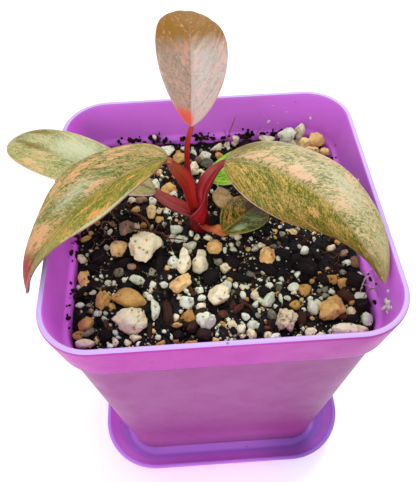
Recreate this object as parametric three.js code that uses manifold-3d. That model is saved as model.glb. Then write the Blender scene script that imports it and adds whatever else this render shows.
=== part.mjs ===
// A young orange-leaved philodendron in a square nursery pot on its saucer.
// Millimetres, +Z up, the front of the pot faces -Y.
// The origin is the centre of the saucer's underside.

import * as THREE from 'three';
import { mergeVertices } from 'three/addons/utils/BufferGeometryUtils.js';
import Module from 'manifold-3d';

const wasm = await Module();
wasm.setup();

// Driving dimensions

const GAP = 0.3; // left between pieces that touch or are cut by each other

// Pot: half-widths and corner radii are measured across the flats
const POT_HEIGHT = 78;
const POT_TOP_HALF = 35;
const POT_TOP_CORNER = 10.7;
const POT_BODY_TOP_HALF = 32.5;
const POT_BODY_TOP_CORNER = 9;
const POT_FOOT_HALF = 26.1;
const POT_FOOT_CORNER = 6.5;
const POT_WALL = 1.25;
const COLLAR_HEIGHT = 11;
const COLLAR_TAPER = 1.3;
const FOOT_RECESS = 1;
const POT_FLOOR = 1.25;
const CORNER_STEPS = 5;

// Drainage holes in the pot's floor
const MIDDLE_HOLE_RADIUS = 3.5;
const CORNER_HOLE_RADIUS = 2.5;
const CORNER_HOLE_OFFSET = 14;

// Saucer
const SAUCER_FLOOR = 2;
const SAUCER_RIM_HALF = 33.5;
const SAUCER_RIM_CORNER = 15;
const SAUCER_RIM_Z = 7.6;
const SAUCER_FOOT_HALF = 27.4;
const SAUCER_FOOT_CORNER = 9.5;
const SAUCER_WALL = 1;
const SAUCER_CORNER_STEPS = 7;

// Potting mix
const SOIL_LEVEL = 68;
const SOIL_LUMP = 0.55;
const SOIL_GRID_STEPS = 20;
const GRAIN_COUNT = 64;
const GRAIN_RADIUS_MIN = 0.9;
const GRAIN_RADIUS_SPREAD = 0.7;
const GRAIN_SEED = 4127;

// Stones on the mix: x, y, width, depth, height, turn in degrees
const STONES = {
  pumice_stone: [-15.9, -3.8, 6.9, 8.1, 6.2, -12],
  oval_tan_stone: [-19.3, -16.5, 6.6, 4.5, 4.2, -8],
  front_cream_stone: [-18.6, -22.3, 6.2, 5.2, 4.8, 6],
  paired_stone_left: [-7.4, -8.1, 3.0, 6.0, 3.8, 4],
  paired_stone_right: [-3.8, -7.8, 3.3, 5.6, 3.9, -5],
  middle_cream_stone: [-0.4, -17.2, 4.6, 4.5, 4.2, 20],
  middle_tan_stone: [-8.4, -13.4, 4.6, 3.9, 3.6, 14],
  speckled_stone: [12.9, -23.9, 4.0, 4.7, 4.2, 0],
  right_tan_stone: [22.7, -22.4, 4.9, 5.2, 4.4, -20],
  right_cream_stone: [24.2, -27.3, 5.2, 3.0, 3.2, 5],
  orange_stone: [-0.6, -4.4, 3.2, 3.4, 3.0, 30],
  left_tan_stone: [-21.9, -3.1, 3.7, 3.6, 3.4, 10],
  bark_chip: [-11.2, -20.5, 2.2, 6.2, 2.6, 6],
  long_white_stone: [-13.7, -19.3, 1.8, 5.2, 3.0, 2],
  brown_pebble: [2.4, 10.0, 4.4, 5.2, 3.6, 15],
  back_cream_stone: [21.1, 28.4, 4.4, 3.6, 3.6, 0],
  back_tan_stone: [26.3, 24.6, 4.2, 4.6, 3.8, 25],
  rough_tan_stone: [-24.9, -16.6, 3.1, 3.5, 3.2, -15],
  front_white_stone: [-3.4, -23.0, 3.8, 3.2, 3.2, 12],
  left_corner_stone: [-28.0, -21.8, 3.3, 3.0, 3.0, 30],
  left_orange_stone: [-29.2, -11.1, 2.3, 4.2, 2.8, 5],
  back_white_stone: [-11.0, 27.2, 4.2, 3.3, 3.2, -10],
  left_brown_stone: [-20.6, 3.2, 3.8, 3.8, 3.2, 40],
  right_orange_stone: [10.9, -8.1, 3.4, 4.3, 3.2, -25],
};
const STONE_LIFT = 0.2; // share of its height that a stone's middle is above the mix
const STONE_ROUGHNESS = 0.07;
const STONE_SEED = 90;

// Stem, with its buried rootstock and roots
const STEM_X = -3.4;
const STEM_Y = 3.2;
const STEM_TOP_Z = 73.2;
const STEM_RADIUS = 2.45;
const ROOTSTOCK_DEPTH = 24;
const ROOT_COUNT = 4;
const ROOT_REACH = 15;
const ROOT_DROP = 26;
const ROOT_RADIUS = 0.9;

// Leaf blades
const BLADE_THICKNESS = 0.62;
const RIB_HEIGHT = 0.75;
const RIB_HALF_SHARE = 0.13; // half-width of the midrib as a share of the blade
const BLADE_START = 0.02;
const BLADE_END = 0.985;
const MIDRIB_STEPS = 120;
const ACROSS = [1, 0.74, 0.42, RIB_HALF_SHARE, 0];
const PETIOLE_SIDES = 10;
const PETIOLE_STEPS = 12;
const PETIOLE_TUCK = 2.6; // how far a petiole runs on inside its blade
const PETIOLE_SINK = 0.5; // how far it lies below the blade's middle there
const PETIOLE_KEEL = 0.7; // its depth below and above, as shares of its half-width
const PETIOLE_ROOF = 0.32;

// Each leaf: base is where the blade starts. Angles are in degrees, at the
// blade's base and at its tip. Heading is counted from +X towards +Y, pitch is
// up, roll lifts the left half, fold lifts both halves and curl bends them on
// towards the margin. bend is how late in the blade the change sets in. shape
// gives how round the blade is at its base and at its tip. petiole lists the
// points that its stalk passes, from the stem to the blade, and its half-width
// there. channel is how high its edges rise, as a share of the half-width, and
// faces gives the ways that its channel opens, at the stem and further up.
const LEAVES = {
  leaf_upright: {
    base: [-4.03, 8.41, 93.0], length: 29.8, width: 15.0, shape: [0.74, 0.61],
    heading: [79, 100], headingBend: 1, pitch: [56.3, -62], pitchBend: 2.78,
    roll: [-3.5, 11.2], fold: [12.5, 1.8], curl: -18.3, sides: [0.95, 1.03],
    wave: [0, 2, 0], rows: 18,
    petiole: [
      [-3.5, 5.0, 73.5, 0.8], [-4.7, 5.4, 79.2, 0.78], [-5.3, 6.6, 83.1, 0.74], [-5.1, 7.8, 88.6, 0.7],
    ],
    channel: 0.2, faces: [[0, -1, 0.3], [0, -1, 0.3]],
  },
  leaf_left: {
    base: [-9.1, -0.1, 92.4], length: 42.6, width: 18.8, shape: [0.53, 0.79],
    heading: [152.6, 223], headingBend: 0.26, pitch: [-15, -75.5], pitchBend: 2.85,
    roll: [2.8, 27.2], fold: [25.3, 20.5], curl: -8, sides: [1.11, 0.93],
    wave: [0.83, 1.5, 0.14], rows: 20,
    petiole: [
      [-4.5, 3.2, 73.5, 1.3], [-5.1, 2.8, 77.8, 1.25], [-5.6, 2.5, 82.2, 1.55], [-6.5, 2.0, 85.1, 1.65],
      [-7.5, 1.3, 87.7, 1.4], [-8.6, 0.5, 90.3, 0.95],
    ],
    channel: 0.35, faces: [[0.3, -0.8, 0.5], [0.35, -0.75, 0.6]],
  },
  leaf_back_left: {
    base: [-13.24, 8.32, 74.62], length: 39.9, width: 15.2, shape: [0.42, 0.58],
    heading: [180.7, 133.4], headingBend: 0.97, pitch: [28.5, -32], pitchBend: 1.82,
    roll: [14.2, -9.6], fold: [20.3, 3.3], curl: -6.1, sides: [1, 1],
    wave: [0, 2, 0], rows: 18,
    petiole: [
      [-4.2, 3.5, 70.8, 1.4], [-6.0, 3.5, 72.3, 1.6], [-7.8, 3.8, 73.3, 1.7], [-9.6, 4.4, 74.0, 1.7],
      [-12.0, 6.5, 74.3, 1.35],
    ],
    channel: 0.55, faces: [[0, -0.1, 1], [0.2, 0, 1]],
  },
  leaf_right: {
    base: [2.87, 6.66, 84.28], length: 44.1, width: 19.0, shape: [0.49, 0.75],
    heading: [-18.8, -63.2], headingBend: 0.63, pitch: [20.3, -39.2], pitchBend: 1,
    roll: [-0.5, 64.3], fold: [34, -28], curl: -37, sides: [1.05, 0.95],
    wave: [0.66, 2, 0.1], rows: 22,
    petiole: [
      [-2.95, 1.7, 73.6, 1.9], [-2.25, 2.8, 76.1, 1.35], [-2.0, 3.9, 78.2, 1.5], [-1.0, 4.6, 80.4, 1.6],
      [0.2, 5.2, 82.2, 1.35], [1.7, 5.9, 83.5, 0.9],
    ],
    channel: 0.75, faces: [[-0.45, 0.85, 0.2], [-0.6, -0.35, 0.65]],
  },
  leaf_low_front: {
    base: [1.71, -3.22, 72.57], length: 14.5, width: 10, shape: [0.61, 0.74],
    heading: [34, 53.5], headingBend: 1, pitch: [16.9, -33.2], pitchBend: 1,
    roll: [2.2, 14.9], fold: [18.9, 4.7], curl: -5.2, sides: [1, 1],
    wave: [0, 2, 0], rows: 10,
    petiole: [[-3.3, 2.2, 69.7, 0.7], [-2.0, -0.4, 70.7, 0.85], [-0.1, -2.7, 73.0, 1.25]],
    channel: 0.3, faces: [[0.3, 0, 1], [0.2, 0, 1]],
  },
  leaf_low_back: {
    base: [-0.97, 11.79, 74.31], length: 17.1, width: 10.2, shape: [0.55, 0.75],
    heading: [13.2, 24.5], headingBend: 1, pitch: [23.7, -4.1], pitchBend: 1.5,
    roll: [-3.7, -0.9], fold: [8, 5.6], curl: -19.8, sides: [1, 1],
    wave: [0, 2, 0], rows: 10,
    petiole: [[-3.2, 4.2, 70.4, 0.7], [-2.6, 7.2, 71.6, 0.7], [-2.0, 10.2, 73.3, 0.6]],
    channel: 0.2, faces: [[0, 0, 1], [0, 0, 1]],
  },
};

// Heights that follow from the driving dimensions
const POT_BASE_Z = SAUCER_FLOOR;
const POT_TOP_Z = POT_BASE_Z + POT_HEIGHT;
const COLLAR_Z = POT_TOP_Z - COLLAR_HEIGHT;
const POT_UNDERSIDE_Z = POT_BASE_Z + FOOT_RECESS;
const POT_INSIDE_Z = POT_UNDERSIDE_Z + POT_FLOOR;

// Colours and finishes
const PLASTIC = { color: 0xb95fc0, roughness: 0.35, metalness: 0 };
const SAUCER_PLASTIC = { color: 0xa84fc8, roughness: 0.35, metalness: 0 };
const POTTING_MIX = { color: 0x2c211b, roughness: 0.95, metalness: 0 };
const STEM_RED = { color: 0x9c3b2e, roughness: 0.45, metalness: 0 };
const STONE_COLORS = {
  pumice_stone: 0xd8c8a8, oval_tan_stone: 0xb58e5f, front_cream_stone: 0xd2c5a6,
  paired_stone_left: 0xcfc0a0, paired_stone_right: 0xcdbb96, middle_cream_stone: 0xd9d0b8,
  middle_tan_stone: 0xc4a878, speckled_stone: 0xb0a690, right_tan_stone: 0xb98f5a,
  right_cream_stone: 0xd0c3a4, orange_stone: 0xb9854f, left_tan_stone: 0xb89264,
  bark_chip: 0x6b4630, long_white_stone: 0xd6d3c8, brown_pebble: 0x86684c,
  back_cream_stone: 0xd5caae, back_tan_stone: 0xb79a6c, rough_tan_stone: 0xae8e66,
  front_white_stone: 0xd0cdc4, left_corner_stone: 0xb5a98c, left_orange_stone: 0xb27a48,
  back_white_stone: 0xd2cec0, left_brown_stone: 0x77593f, right_orange_stone: 0xb57c48,
};
const LEAF_COLORS = {
  leaf_upright: 0xb98a78, leaf_left: 0x93925a, leaf_back_left: 0x9fae83,
  leaf_right: 0x8d9150, leaf_low_front: 0x5d5a2c, leaf_low_back: 0x6f8f3e,
};

// Solids from rings, and joining and cutting

function randomFrom(seed) {
  let state = seed >>> 0;
  return () => {
    state = (state + 0x6d2b79f5) >>> 0;
    let t = state;
    t = Math.imul(t ^ (t >>> 15), t | 1);
    t ^= t + Math.imul(t ^ (t >>> 7), t | 61);
    return ((t ^ (t >>> 14)) >>> 0) / 4294967296;
  };
}

function indexedGeometry(points, faces) {
  const geometry = new THREE.BufferGeometry();
  geometry.setAttribute('position', new THREE.Float32BufferAttribute(points, 3));
  geometry.setIndex(faces);
  return geometry;
}

// Skins a row of closed rings and caps both ends. The rings turn to the left
// as seen looking back along the row, so that the faces point out.
function ringSolid(rings, splitOtherWay = () => false) {
  const count = rings[0].length;
  const faces = [];
  for (let i = 0; i + 1 < rings.length; i += 1) {
    for (let j = 0; j < count; j += 1) {
      const a = i * count + j;
      const b = i * count + ((j + 1) % count);
      const c = b + count;
      const d = a + count;
      if (splitOtherWay(j)) faces.push(a, b, d, b, c, d);
      else faces.push(a, b, c, a, c, d);
    }
  }
  const points = rings.flat();
  const last = rings.length - 1;
  const firstMiddle = points.length;
  const lastMiddle = firstMiddle + 1;
  points.push(middleOf(rings[0]), middleOf(rings[last]));
  for (let j = 0; j < count; j += 1) {
    const next = (j + 1) % count;
    faces.push(firstMiddle, next, j);
    faces.push(lastMiddle, last * count + j, last * count + next);
  }
  return indexedGeometry(points.flatMap((p) => [p.x, p.y, p.z]), faces);
}

function middleOf(ring) {
  const sum = ring.reduce((total, p) => total.add(p), new THREE.Vector3());
  return sum.divideScalar(ring.length);
}

// A square with round corners, lying flat at height z
function squareRing([half, corner, z], steps) {
  const ring = [];
  for (let side = 0; side < 4; side += 1) {
    const start = side * Math.PI / 2;
    const middle = start + Math.PI / 4;
    const reach = (half - corner) * Math.SQRT2;
    for (let i = 0; i <= steps; i += 1) {
      const angle = start + (i / steps) * Math.PI / 2;
      ring.push(new THREE.Vector3(
        reach * Math.cos(middle) + corner * Math.cos(angle),
        reach * Math.sin(middle) + corner * Math.sin(angle),
        z,
      ));
    }
  }
  return ring;
}

function squareSolid(profile, steps) {
  return ringSolid(profile.map((level) => squareRing(level, steps)));
}

function toSolid(geometry) {
  const bare = geometry.clone();
  bare.deleteAttribute('normal');
  bare.deleteAttribute('uv');
  const merged = mergeVertices(bare, 1e-4);
  return new wasm.Manifold(new wasm.Mesh({
    numProp: 3,
    vertProperties: new Float32Array(merged.attributes.position.array),
    triVerts: new Uint32Array(merged.index.array),
  }));
}

function toGeometry(solid) {
  const mesh = solid.getMesh();
  return indexedGeometry(Array.from(mesh.vertProperties), Array.from(mesh.triVerts));
}

// Pot: a tapering shell with a wider collar, a ledge inside at the collar's
// foot, a recess under its floor and drainage holes

function potGeometry() {
  const collarHalf = POT_TOP_HALF - COLLAR_TAPER;
  const collarCorner = POT_TOP_CORNER - 0.5;
  const insideTopHalf = POT_TOP_HALF - COLLAR_TAPER;
  const profile = [
    [POT_FOOT_HALF - 5.5, POT_FOOT_CORNER - 2.5, POT_UNDERSIDE_Z],
    [POT_FOOT_HALF - 4.6, POT_FOOT_CORNER - 2.5, POT_BASE_Z],
    [POT_FOOT_HALF - 0.8, POT_FOOT_CORNER - 0.8, POT_BASE_Z],
    [POT_FOOT_HALF, POT_FOOT_CORNER, POT_BASE_Z + 0.8],
    [POT_BODY_TOP_HALF, POT_BODY_TOP_CORNER, COLLAR_Z - 0.5],
    [collarHalf - 0.3, collarCorner - 0.2, COLLAR_Z],
    [collarHalf, collarCorner, COLLAR_Z + 0.7],
    [POT_TOP_HALF, POT_TOP_CORNER, POT_TOP_Z - 0.5],
    [POT_TOP_HALF - 0.25, POT_TOP_CORNER - 0.25, POT_TOP_Z],
    [insideTopHalf + 0.2, POT_TOP_CORNER - 1.1, POT_TOP_Z],
    [insideTopHalf, POT_TOP_CORNER - 1.3, POT_TOP_Z - 0.4],
    [collarHalf - POT_WALL, collarCorner - POT_WALL, COLLAR_Z + 1.1],
    [collarHalf - POT_WALL - 0.3, collarCorner - POT_WALL - 0.2, COLLAR_Z + 0.6],
    [POT_BODY_TOP_HALF - POT_WALL + 0.2, POT_BODY_TOP_CORNER - POT_WALL, COLLAR_Z + 0.3],
    [POT_BODY_TOP_HALF - POT_WALL, POT_BODY_TOP_CORNER - POT_WALL, COLLAR_Z - 0.2],
    [POT_FOOT_HALF - POT_WALL, POT_FOOT_CORNER - POT_WALL, POT_INSIDE_Z],
  ];
  let pot = toSolid(squareSolid(profile, CORNER_STEPS));
  const offset = CORNER_HOLE_OFFSET;
  const holes = [[0, 0, MIDDLE_HOLE_RADIUS]];
  for (const x of [-offset, offset]) {
    for (const y of [-offset, offset]) holes.push([x, y, CORNER_HOLE_RADIUS]);
  }
  for (const [x, y, radius] of holes) {
    const hole = new THREE.CylinderGeometry(radius, radius, 4 * POT_FLOOR, 16);
    hole.rotateX(Math.PI / 2);
    hole.translate(x, y, (POT_UNDERSIDE_Z + POT_INSIDE_Z) / 2);
    pot = pot.subtract(toSolid(hole));
  }
  return toGeometry(pot);
}

// Saucer: a shallow dish with a flared wall, a thin lip and a drip well in
// the middle of its floor

function saucerGeometry() {
  const rise = SAUCER_RIM_Z - SAUCER_FLOOR;
  const flare = SAUCER_RIM_HALF - SAUCER_WALL - SAUCER_FOOT_HALF - 0.4;
  const inside = (share, height) => [
    SAUCER_FOOT_HALF + 0.4 + flare * share,
    SAUCER_FOOT_CORNER + (SAUCER_RIM_CORNER - SAUCER_FOOT_CORNER - 0.6) * share,
    SAUCER_FLOOR + rise * height,
  ];
  const outside = (share, height) => {
    const [half, corner, z] = inside(share, height);
    return [half + SAUCER_WALL * 0.9, corner + SAUCER_WALL * 0.6, z - SAUCER_WALL * 0.6];
  };
  return squareSolid([
    [SAUCER_FOOT_HALF - 0.4, SAUCER_FOOT_CORNER, 0],
    [SAUCER_FOOT_HALF + 0.3, SAUCER_FOOT_CORNER + 0.3, 0.4],
    outside(0.12, 0.04),
    outside(0.45, 0.3),
    outside(0.8, 0.7),
    [SAUCER_RIM_HALF, SAUCER_RIM_CORNER, SAUCER_RIM_Z - 0.4],
    [SAUCER_RIM_HALF, SAUCER_RIM_CORNER, SAUCER_RIM_Z],
    inside(1, 1),
    inside(0.8, 0.72),
    inside(0.45, 0.3),
    inside(0.12, 0.05),
    inside(0, 0),
    [POT_FOOT_HALF - 7.5, POT_FOOT_CORNER - 2, SAUCER_FLOOR],
    [POT_FOOT_HALF - 8.2, POT_FOOT_CORNER - 2.5, SAUCER_FLOOR - 0.75],
  ], SAUCER_CORNER_STEPS);
}

// Stem: a short crown above the mix, and a tapering rootstock with roots

function stemSolid(grow) {
  const radii = [
    [0.9, -ROOTSTOCK_DEPTH], [1.6, -16], [2.1, -6], [2.3, -1.5], [STEM_RADIUS, 0.6],
    [STEM_RADIUS, 2.6], [STEM_RADIUS - 0.15, STEM_TOP_Z - SOIL_LEVEL],
  ];
  const ends = { 0: -grow, [radii.length - 1]: grow };
  const rings = radii.map(([radius, height], index) => {
    const ring = [];
    for (let i = 0; i < 12; i += 1) {
      const angle = i * Math.PI / 6;
      ring.push(new THREE.Vector3(
        STEM_X + (radius + grow) * Math.cos(angle),
        STEM_Y + (radius + grow) * Math.sin(angle),
        SOIL_LEVEL + height + (ends[index] ?? 0),
      ));
    }
    return ring;
  });
  let stem = toSolid(ringSolid(rings));
  for (let i = 0; i < ROOT_COUNT; i += 1) {
    stem = stem.add(toSolid(rootGeometry(i, grow)));
  }
  return stem;
}

function rootGeometry(index, grow) {
  const angle = (index + 0.3) * 2 * Math.PI / ROOT_COUNT;
  const top = SOIL_LEVEL - 5 - 2.2 * index;
  const along = (share) => new THREE.Vector3(
    STEM_X + Math.cos(angle + 0.5 * share) * ROOT_REACH * share,
    STEM_Y + Math.sin(angle + 0.5 * share) * ROOT_REACH * share,
    top - ROOT_DROP * share * share,
  );
  const end = 1 + grow / ROOT_REACH;
  const path = new THREE.CatmullRomCurve3([0, 0.35, 0.7, end].map(along));
  const radiusAt = (t) => ROOT_RADIUS * (1 - 0.5 * t) + grow;
  const round = (turn) => [Math.cos(turn), Math.sin(turn)];
  return sweep(path, 6, 6, () => new THREE.Vector3(0, 0, 1), radiusAt, round);
}

// A bar along a path. upAt gives the side that each section's top faces, sizeAt
// its half-width, and section a point of its outline for a half-width of 1.
function sweep(path, steps, sides, upAt, sizeAt, section) {
  const rings = [];
  for (let i = 0; i <= steps; i += 1) {
    const t = i / steps;
    const middle = path.getPoint(t);
    const ahead = path.getTangent(t);
    const side = new THREE.Vector3().crossVectors(upAt(t), ahead).normalize();
    const above = new THREE.Vector3().crossVectors(ahead, side);
    const ring = [];
    for (let j = 0; j < sides; j += 1) {
      const [x, y] = section(j * 2 * Math.PI / sides);
      ring.push(middle.clone()
        .addScaledVector(side, sizeAt(t) * x)
        .addScaledVector(above, sizeAt(t) * y));
    }
    rings.push(ring);
  }
  return ringSolid(rings);
}

// Leaves

const radians = THREE.MathUtils.degToRad;

function between([from, to], share) {
  return from + (to - from) * share;
}

// Heading and pitch of the midrib at share s of its length
function directionAt(leaf, s) {
  const heading = radians(between(leaf.heading, s ** leaf.headingBend));
  const pitch = radians(between(leaf.pitch, s ** leaf.pitchBend));
  const ahead = new THREE.Vector3(
    Math.cos(pitch) * Math.cos(heading),
    Math.cos(pitch) * Math.sin(heading),
    Math.sin(pitch),
  );
  const left = new THREE.Vector3(-Math.sin(heading), Math.cos(heading), 0);
  return { ahead, left, above: new THREE.Vector3().crossVectors(ahead, left) };
}

function midribOf(leaf) {
  const points = [new THREE.Vector3(...leaf.base)];
  const step = leaf.length / MIDRIB_STEPS;
  for (let i = 0; i < MIDRIB_STEPS; i += 1) {
    const { ahead } = directionAt(leaf, (i + 0.5) / MIDRIB_STEPS);
    points.push(points[i].clone().addScaledVector(ahead, step));
  }
  return points;
}

function halfWidthAt(leaf, s) {
  const [base, tip] = leaf.shape;
  const widest = base / (base + tip);
  const scale = widest ** base * (1 - widest) ** tip;
  return leaf.width / 2 * (s ** base * (1 - s) ** tip) / scale;
}

// The blade's middle surface: s runs from base to tip, v from -1 at the right
// margin to 1 at the left one
function bladePoint(leaf, midrib, s, v) {
  const place = s * MIDRIB_STEPS;
  const index = Math.min(Math.floor(place), MIDRIB_STEPS - 1);
  const middle = midrib[index].clone().lerp(midrib[index + 1], place - index);
  const { left, above } = directionAt(leaf, s);
  const roll = radians(between(leaf.roll, s));
  const side = left.clone().multiplyScalar(Math.cos(roll)).addScaledVector(above, Math.sin(roll));
  const up = above.clone().multiplyScalar(Math.cos(roll)).addScaledVector(left, -Math.sin(roll));
  const lift = radians(between(leaf.fold, s) + leaf.curl * Math.abs(v));
  const reach = halfWidthAt(leaf, s) * Math.abs(v) * (v > 0 ? leaf.sides[0] : leaf.sides[1]);
  const [height, count, start] = leaf.wave;
  const swell = height * Math.sin(2 * Math.PI * (count * s + start)) * Math.sin(Math.PI * s);
  return middle
    .addScaledVector(side, reach * Math.cos(lift) * Math.sign(v))
    .addScaledVector(up, reach * Math.sin(lift) + swell * v * Math.abs(v));
}

function bladeGeometry(leaf, midrib) {
  const leftToRight = [...ACROSS, ...ACROSS.slice(0, -1).reverse().map((v) => -v)];
  const step = 0.004;
  const rings = [];
  for (let i = 0; i <= leaf.rows; i += 1) {
    const s = between([BLADE_START, BLADE_END], i / leaf.rows);
    const upper = [];
    const lower = [];
    for (const v of leftToRight) {
      const point = bladePoint(leaf, midrib, s, v);
      const along = bladePoint(leaf, midrib, s + step, v).sub(point);
      const inwards = v > 0 ? -step : step;
      const across = bladePoint(leaf, midrib, s, v + inwards).sub(point);
      if (inwards < 0) across.negate();
      const normal = new THREE.Vector3().crossVectors(along, across).normalize();
      const rib = RIB_HEIGHT * (1 - 0.7 * s) * Math.max(0, 1 - Math.abs(v) / RIB_HALF_SHARE);
      upper.push(point.clone().addScaledVector(normal, BLADE_THICKNESS / 2));
      lower.push(point.clone().addScaledVector(normal, -BLADE_THICKNESS / 2 - rib));
    }
    rings.push([...upper, ...lower.reverse()]);
  }
  const columns = leftToRight.length;
  return ringSolid(rings, (j) => j >= columns);
}

function petioleGeometry(leaf, midrib) {
  const { above } = directionAt(leaf, 0);
  const tuckIndex = Math.round(PETIOLE_TUCK / leaf.length * MIDRIB_STEPS);
  const sink = above.clone().multiplyScalar(-PETIOLE_SINK);
  const path = new THREE.CatmullRomCurve3([
    ...leaf.petiole.map(([x, y, z]) => new THREE.Vector3(x, y, z)),
    midrib[0].clone().add(sink),
    midrib[tuckIndex].clone().add(sink),
  ]);
  const widths = leaf.petiole.map((p) => p[3]);
  const last = widths[widths.length - 1];
  widths.push(last * 0.8, last * 0.6);
  const sizeAt = (t) => {
    const place = t * (widths.length - 1);
    const index = Math.min(Math.floor(place), widths.length - 2);
    return between([widths[index], widths[index + 1]], place - index);
  };
  const [low, high] = leaf.faces.map((way) => new THREE.Vector3(...way).normalize());
  const upAt = (t) => low.clone()
    .lerp(high, THREE.MathUtils.smoothstep(t, 0, 0.5))
    .lerp(above, THREE.MathUtils.smoothstep(t, 0.6, 1));
  const section = (turn) => {
    const rise = leaf.channel * Math.abs(Math.cos(turn)) ** 1.6;
    const depth = Math.sin(turn) > 0 ? PETIOLE_ROOF : PETIOLE_KEEL;
    return [Math.cos(turn), rise + depth * Math.sin(turn)];
  };
  return sweep(path, PETIOLE_STEPS, PETIOLE_SIDES, upAt, sizeAt, section);
}

function leafGeometry(leaf, crown) {
  const midrib = midribOf(leaf);
  const blade = toSolid(bladeGeometry(leaf, midrib));
  const petiole = toSolid(petioleGeometry(leaf, midrib));
  return toGeometry(petiole.add(blade).subtract(crown));
}

// Stones, and the potting mix that they lie in

function stoneGeometry(name, index, grow) {
  const [x, y, width, depth, height, turn] = STONES[name];
  const random = randomFrom(STONE_SEED + index);
  const geometry = new THREE.IcosahedronGeometry(1, 1);
  geometry.deleteAttribute('normal');
  geometry.deleteAttribute('uv');
  const stone = mergeVertices(geometry, 1e-4);
  const position = stone.attributes.position;
  for (let i = 0; i < position.count; i += 1) {
    const swell = 1 + STONE_ROUGHNESS * (2 * random() - 1);
    position.setXYZ(
      i,
      position.getX(i) * (width / 2 * swell + grow),
      position.getY(i) * (depth / 2 * swell + grow),
      position.getZ(i) * (height / 2 * swell + grow),
    );
  }
  stone.rotateZ(radians(turn));
  stone.translate(x, y, SOIL_LEVEL + height * STONE_LIFT);
  return stone;
}

function soilHeight(x, y) {
  const broad = Math.sin(0.21 * x + 1.3) * Math.cos(0.17 * y - 0.4);
  const fine = Math.sin(0.83 * x - 0.5 * y) + Math.sin(0.71 * y + 0.37 * x + 2);
  return SOIL_LEVEL + SOIL_LUMP * (0.6 * broad + 0.4 * fine);
}

function soilBlock() {
  const reach = POT_BODY_TOP_HALF;
  const count = SOIL_GRID_STEPS + 1;
  const columns = [];
  const top = new THREE.PlaneGeometry(2 * reach, 2 * reach, SOIL_GRID_STEPS, SOIL_GRID_STEPS);
  const position = top.attributes.position;
  for (let i = 0; i < position.count; i += 1) {
    position.setZ(i, soilHeight(position.getX(i), position.getY(i)));
    columns.push(position.getX(i), position.getY(i), position.getZ(i));
  }
  const faces = Array.from(top.index.array);
  const edge = [];
  for (let i = 0; i < count - 1; i += 1) edge.push(i);
  for (let i = 0; i < count - 1; i += 1) edge.push(i * count + count - 1);
  for (let i = count - 1; i > 0; i -= 1) edge.push((count - 1) * count + i);
  for (let i = count - 1; i > 0; i -= 1) edge.push(i * count);
  const foot = columns.length / 3;
  for (const i of edge) columns.push(columns[3 * i], columns[3 * i + 1], 0);
  const middle = columns.length / 3;
  columns.push(0, 0, 0);
  for (let i = 0; i < edge.length; i += 1) {
    const next = (i + 1) % edge.length;
    faces.push(edge[i], edge[next], foot + next, edge[i], foot + next, foot + i);
    faces.push(middle, foot + i, foot + next);
  }
  return indexedGeometry(columns, faces);
}

function grainGeometry(x, y, radius, random) {
  const grain = new THREE.IcosahedronGeometry(1, 0);
  grain.scale(radius, radius * (0.7 + 0.5 * random()), radius * (0.7 + 0.4 * random()));
  grain.rotateX(random() * Math.PI);
  grain.rotateZ(random() * Math.PI);
  grain.translate(x, y, soilHeight(x, y) + 0.12 * radius);
  return grain;
}

function clearOfStones(x, y, radius) {
  const fromStem = Math.hypot(x - STEM_X, y - STEM_Y);
  if (fromStem < STEM_RADIUS + radius + 1) return false;
  return Object.values(STONES).every(([sx, sy, width, depth]) => (
    Math.hypot(x - sx, y - sy) > Math.max(width, depth) / 2 + radius + 0.7
  ));
}

function soilGeometry(stemHole) {
  const inset = POT_WALL + GAP;
  const sides = squareSolid([
    [POT_FOOT_HALF - inset, POT_FOOT_CORNER - inset, POT_INSIDE_Z],
    [POT_BODY_TOP_HALF - inset, POT_BODY_TOP_CORNER - inset, COLLAR_Z - 0.5],
    [POT_BODY_TOP_HALF - inset, POT_BODY_TOP_CORNER - inset, POT_TOP_Z],
  ], CORNER_STEPS);
  let soil = toSolid(soilBlock()).intersect(toSolid(sides));
  const random = randomFrom(GRAIN_SEED);
  const reach = POT_BODY_TOP_HALF - 4;
  let placed = 0;
  while (placed < GRAIN_COUNT) {
    const x = reach * (2 * random() - 1);
    const y = reach * (2 * random() - 1);
    const radius = GRAIN_RADIUS_MIN + GRAIN_RADIUS_SPREAD * random() ** 2;
    if (clearOfStones(x, y, radius)) {
      soil = soil.add(toSolid(grainGeometry(x, y, radius, random)));
      placed += 1;
    }
  }
  Object.keys(STONES).forEach((name, index) => {
    soil = soil.subtract(toSolid(stoneGeometry(name, index, GAP)));
  });
  return toGeometry(soil.subtract(stemHole));
}

// The whole plant in its pot

const group = new THREE.Group();

function place(name, geometry, finish) {
  const shaded = geometry.index ? geometry.toNonIndexed() : geometry;
  shaded.computeVertexNormals();
  const mesh = new THREE.Mesh(shaded, new THREE.MeshStandardMaterial(finish));
  mesh.name = name;
  group.add(mesh);
}

place('saucer', saucerGeometry(), SAUCER_PLASTIC);
place('pot', potGeometry(), PLASTIC);
place('soil', soilGeometry(stemSolid(GAP)), POTTING_MIX);
place('stem', toGeometry(stemSolid(0)), STEM_RED);
Object.keys(STONES).forEach((name, index) => {
  const finish = { color: STONE_COLORS[name], roughness: 0.9, metalness: 0 };
  place(name, stoneGeometry(name, index, 0), finish);
});
const crown = stemSolid(GAP);
for (const [name, leaf] of Object.entries(LEAVES)) {
  const finish = { color: LEAF_COLORS[name], roughness: 0.45, metalness: 0 };
  place(name, leafGeometry(leaf, crown), finish);
}

export default group;
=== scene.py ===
"""Looks for a young orange-leaved philodendron in a square nursery pot on its saucer.

All measures are in millimetres until a mesh is made. +Z is up and the pot's front faces -Y.
"""

import math

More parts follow.
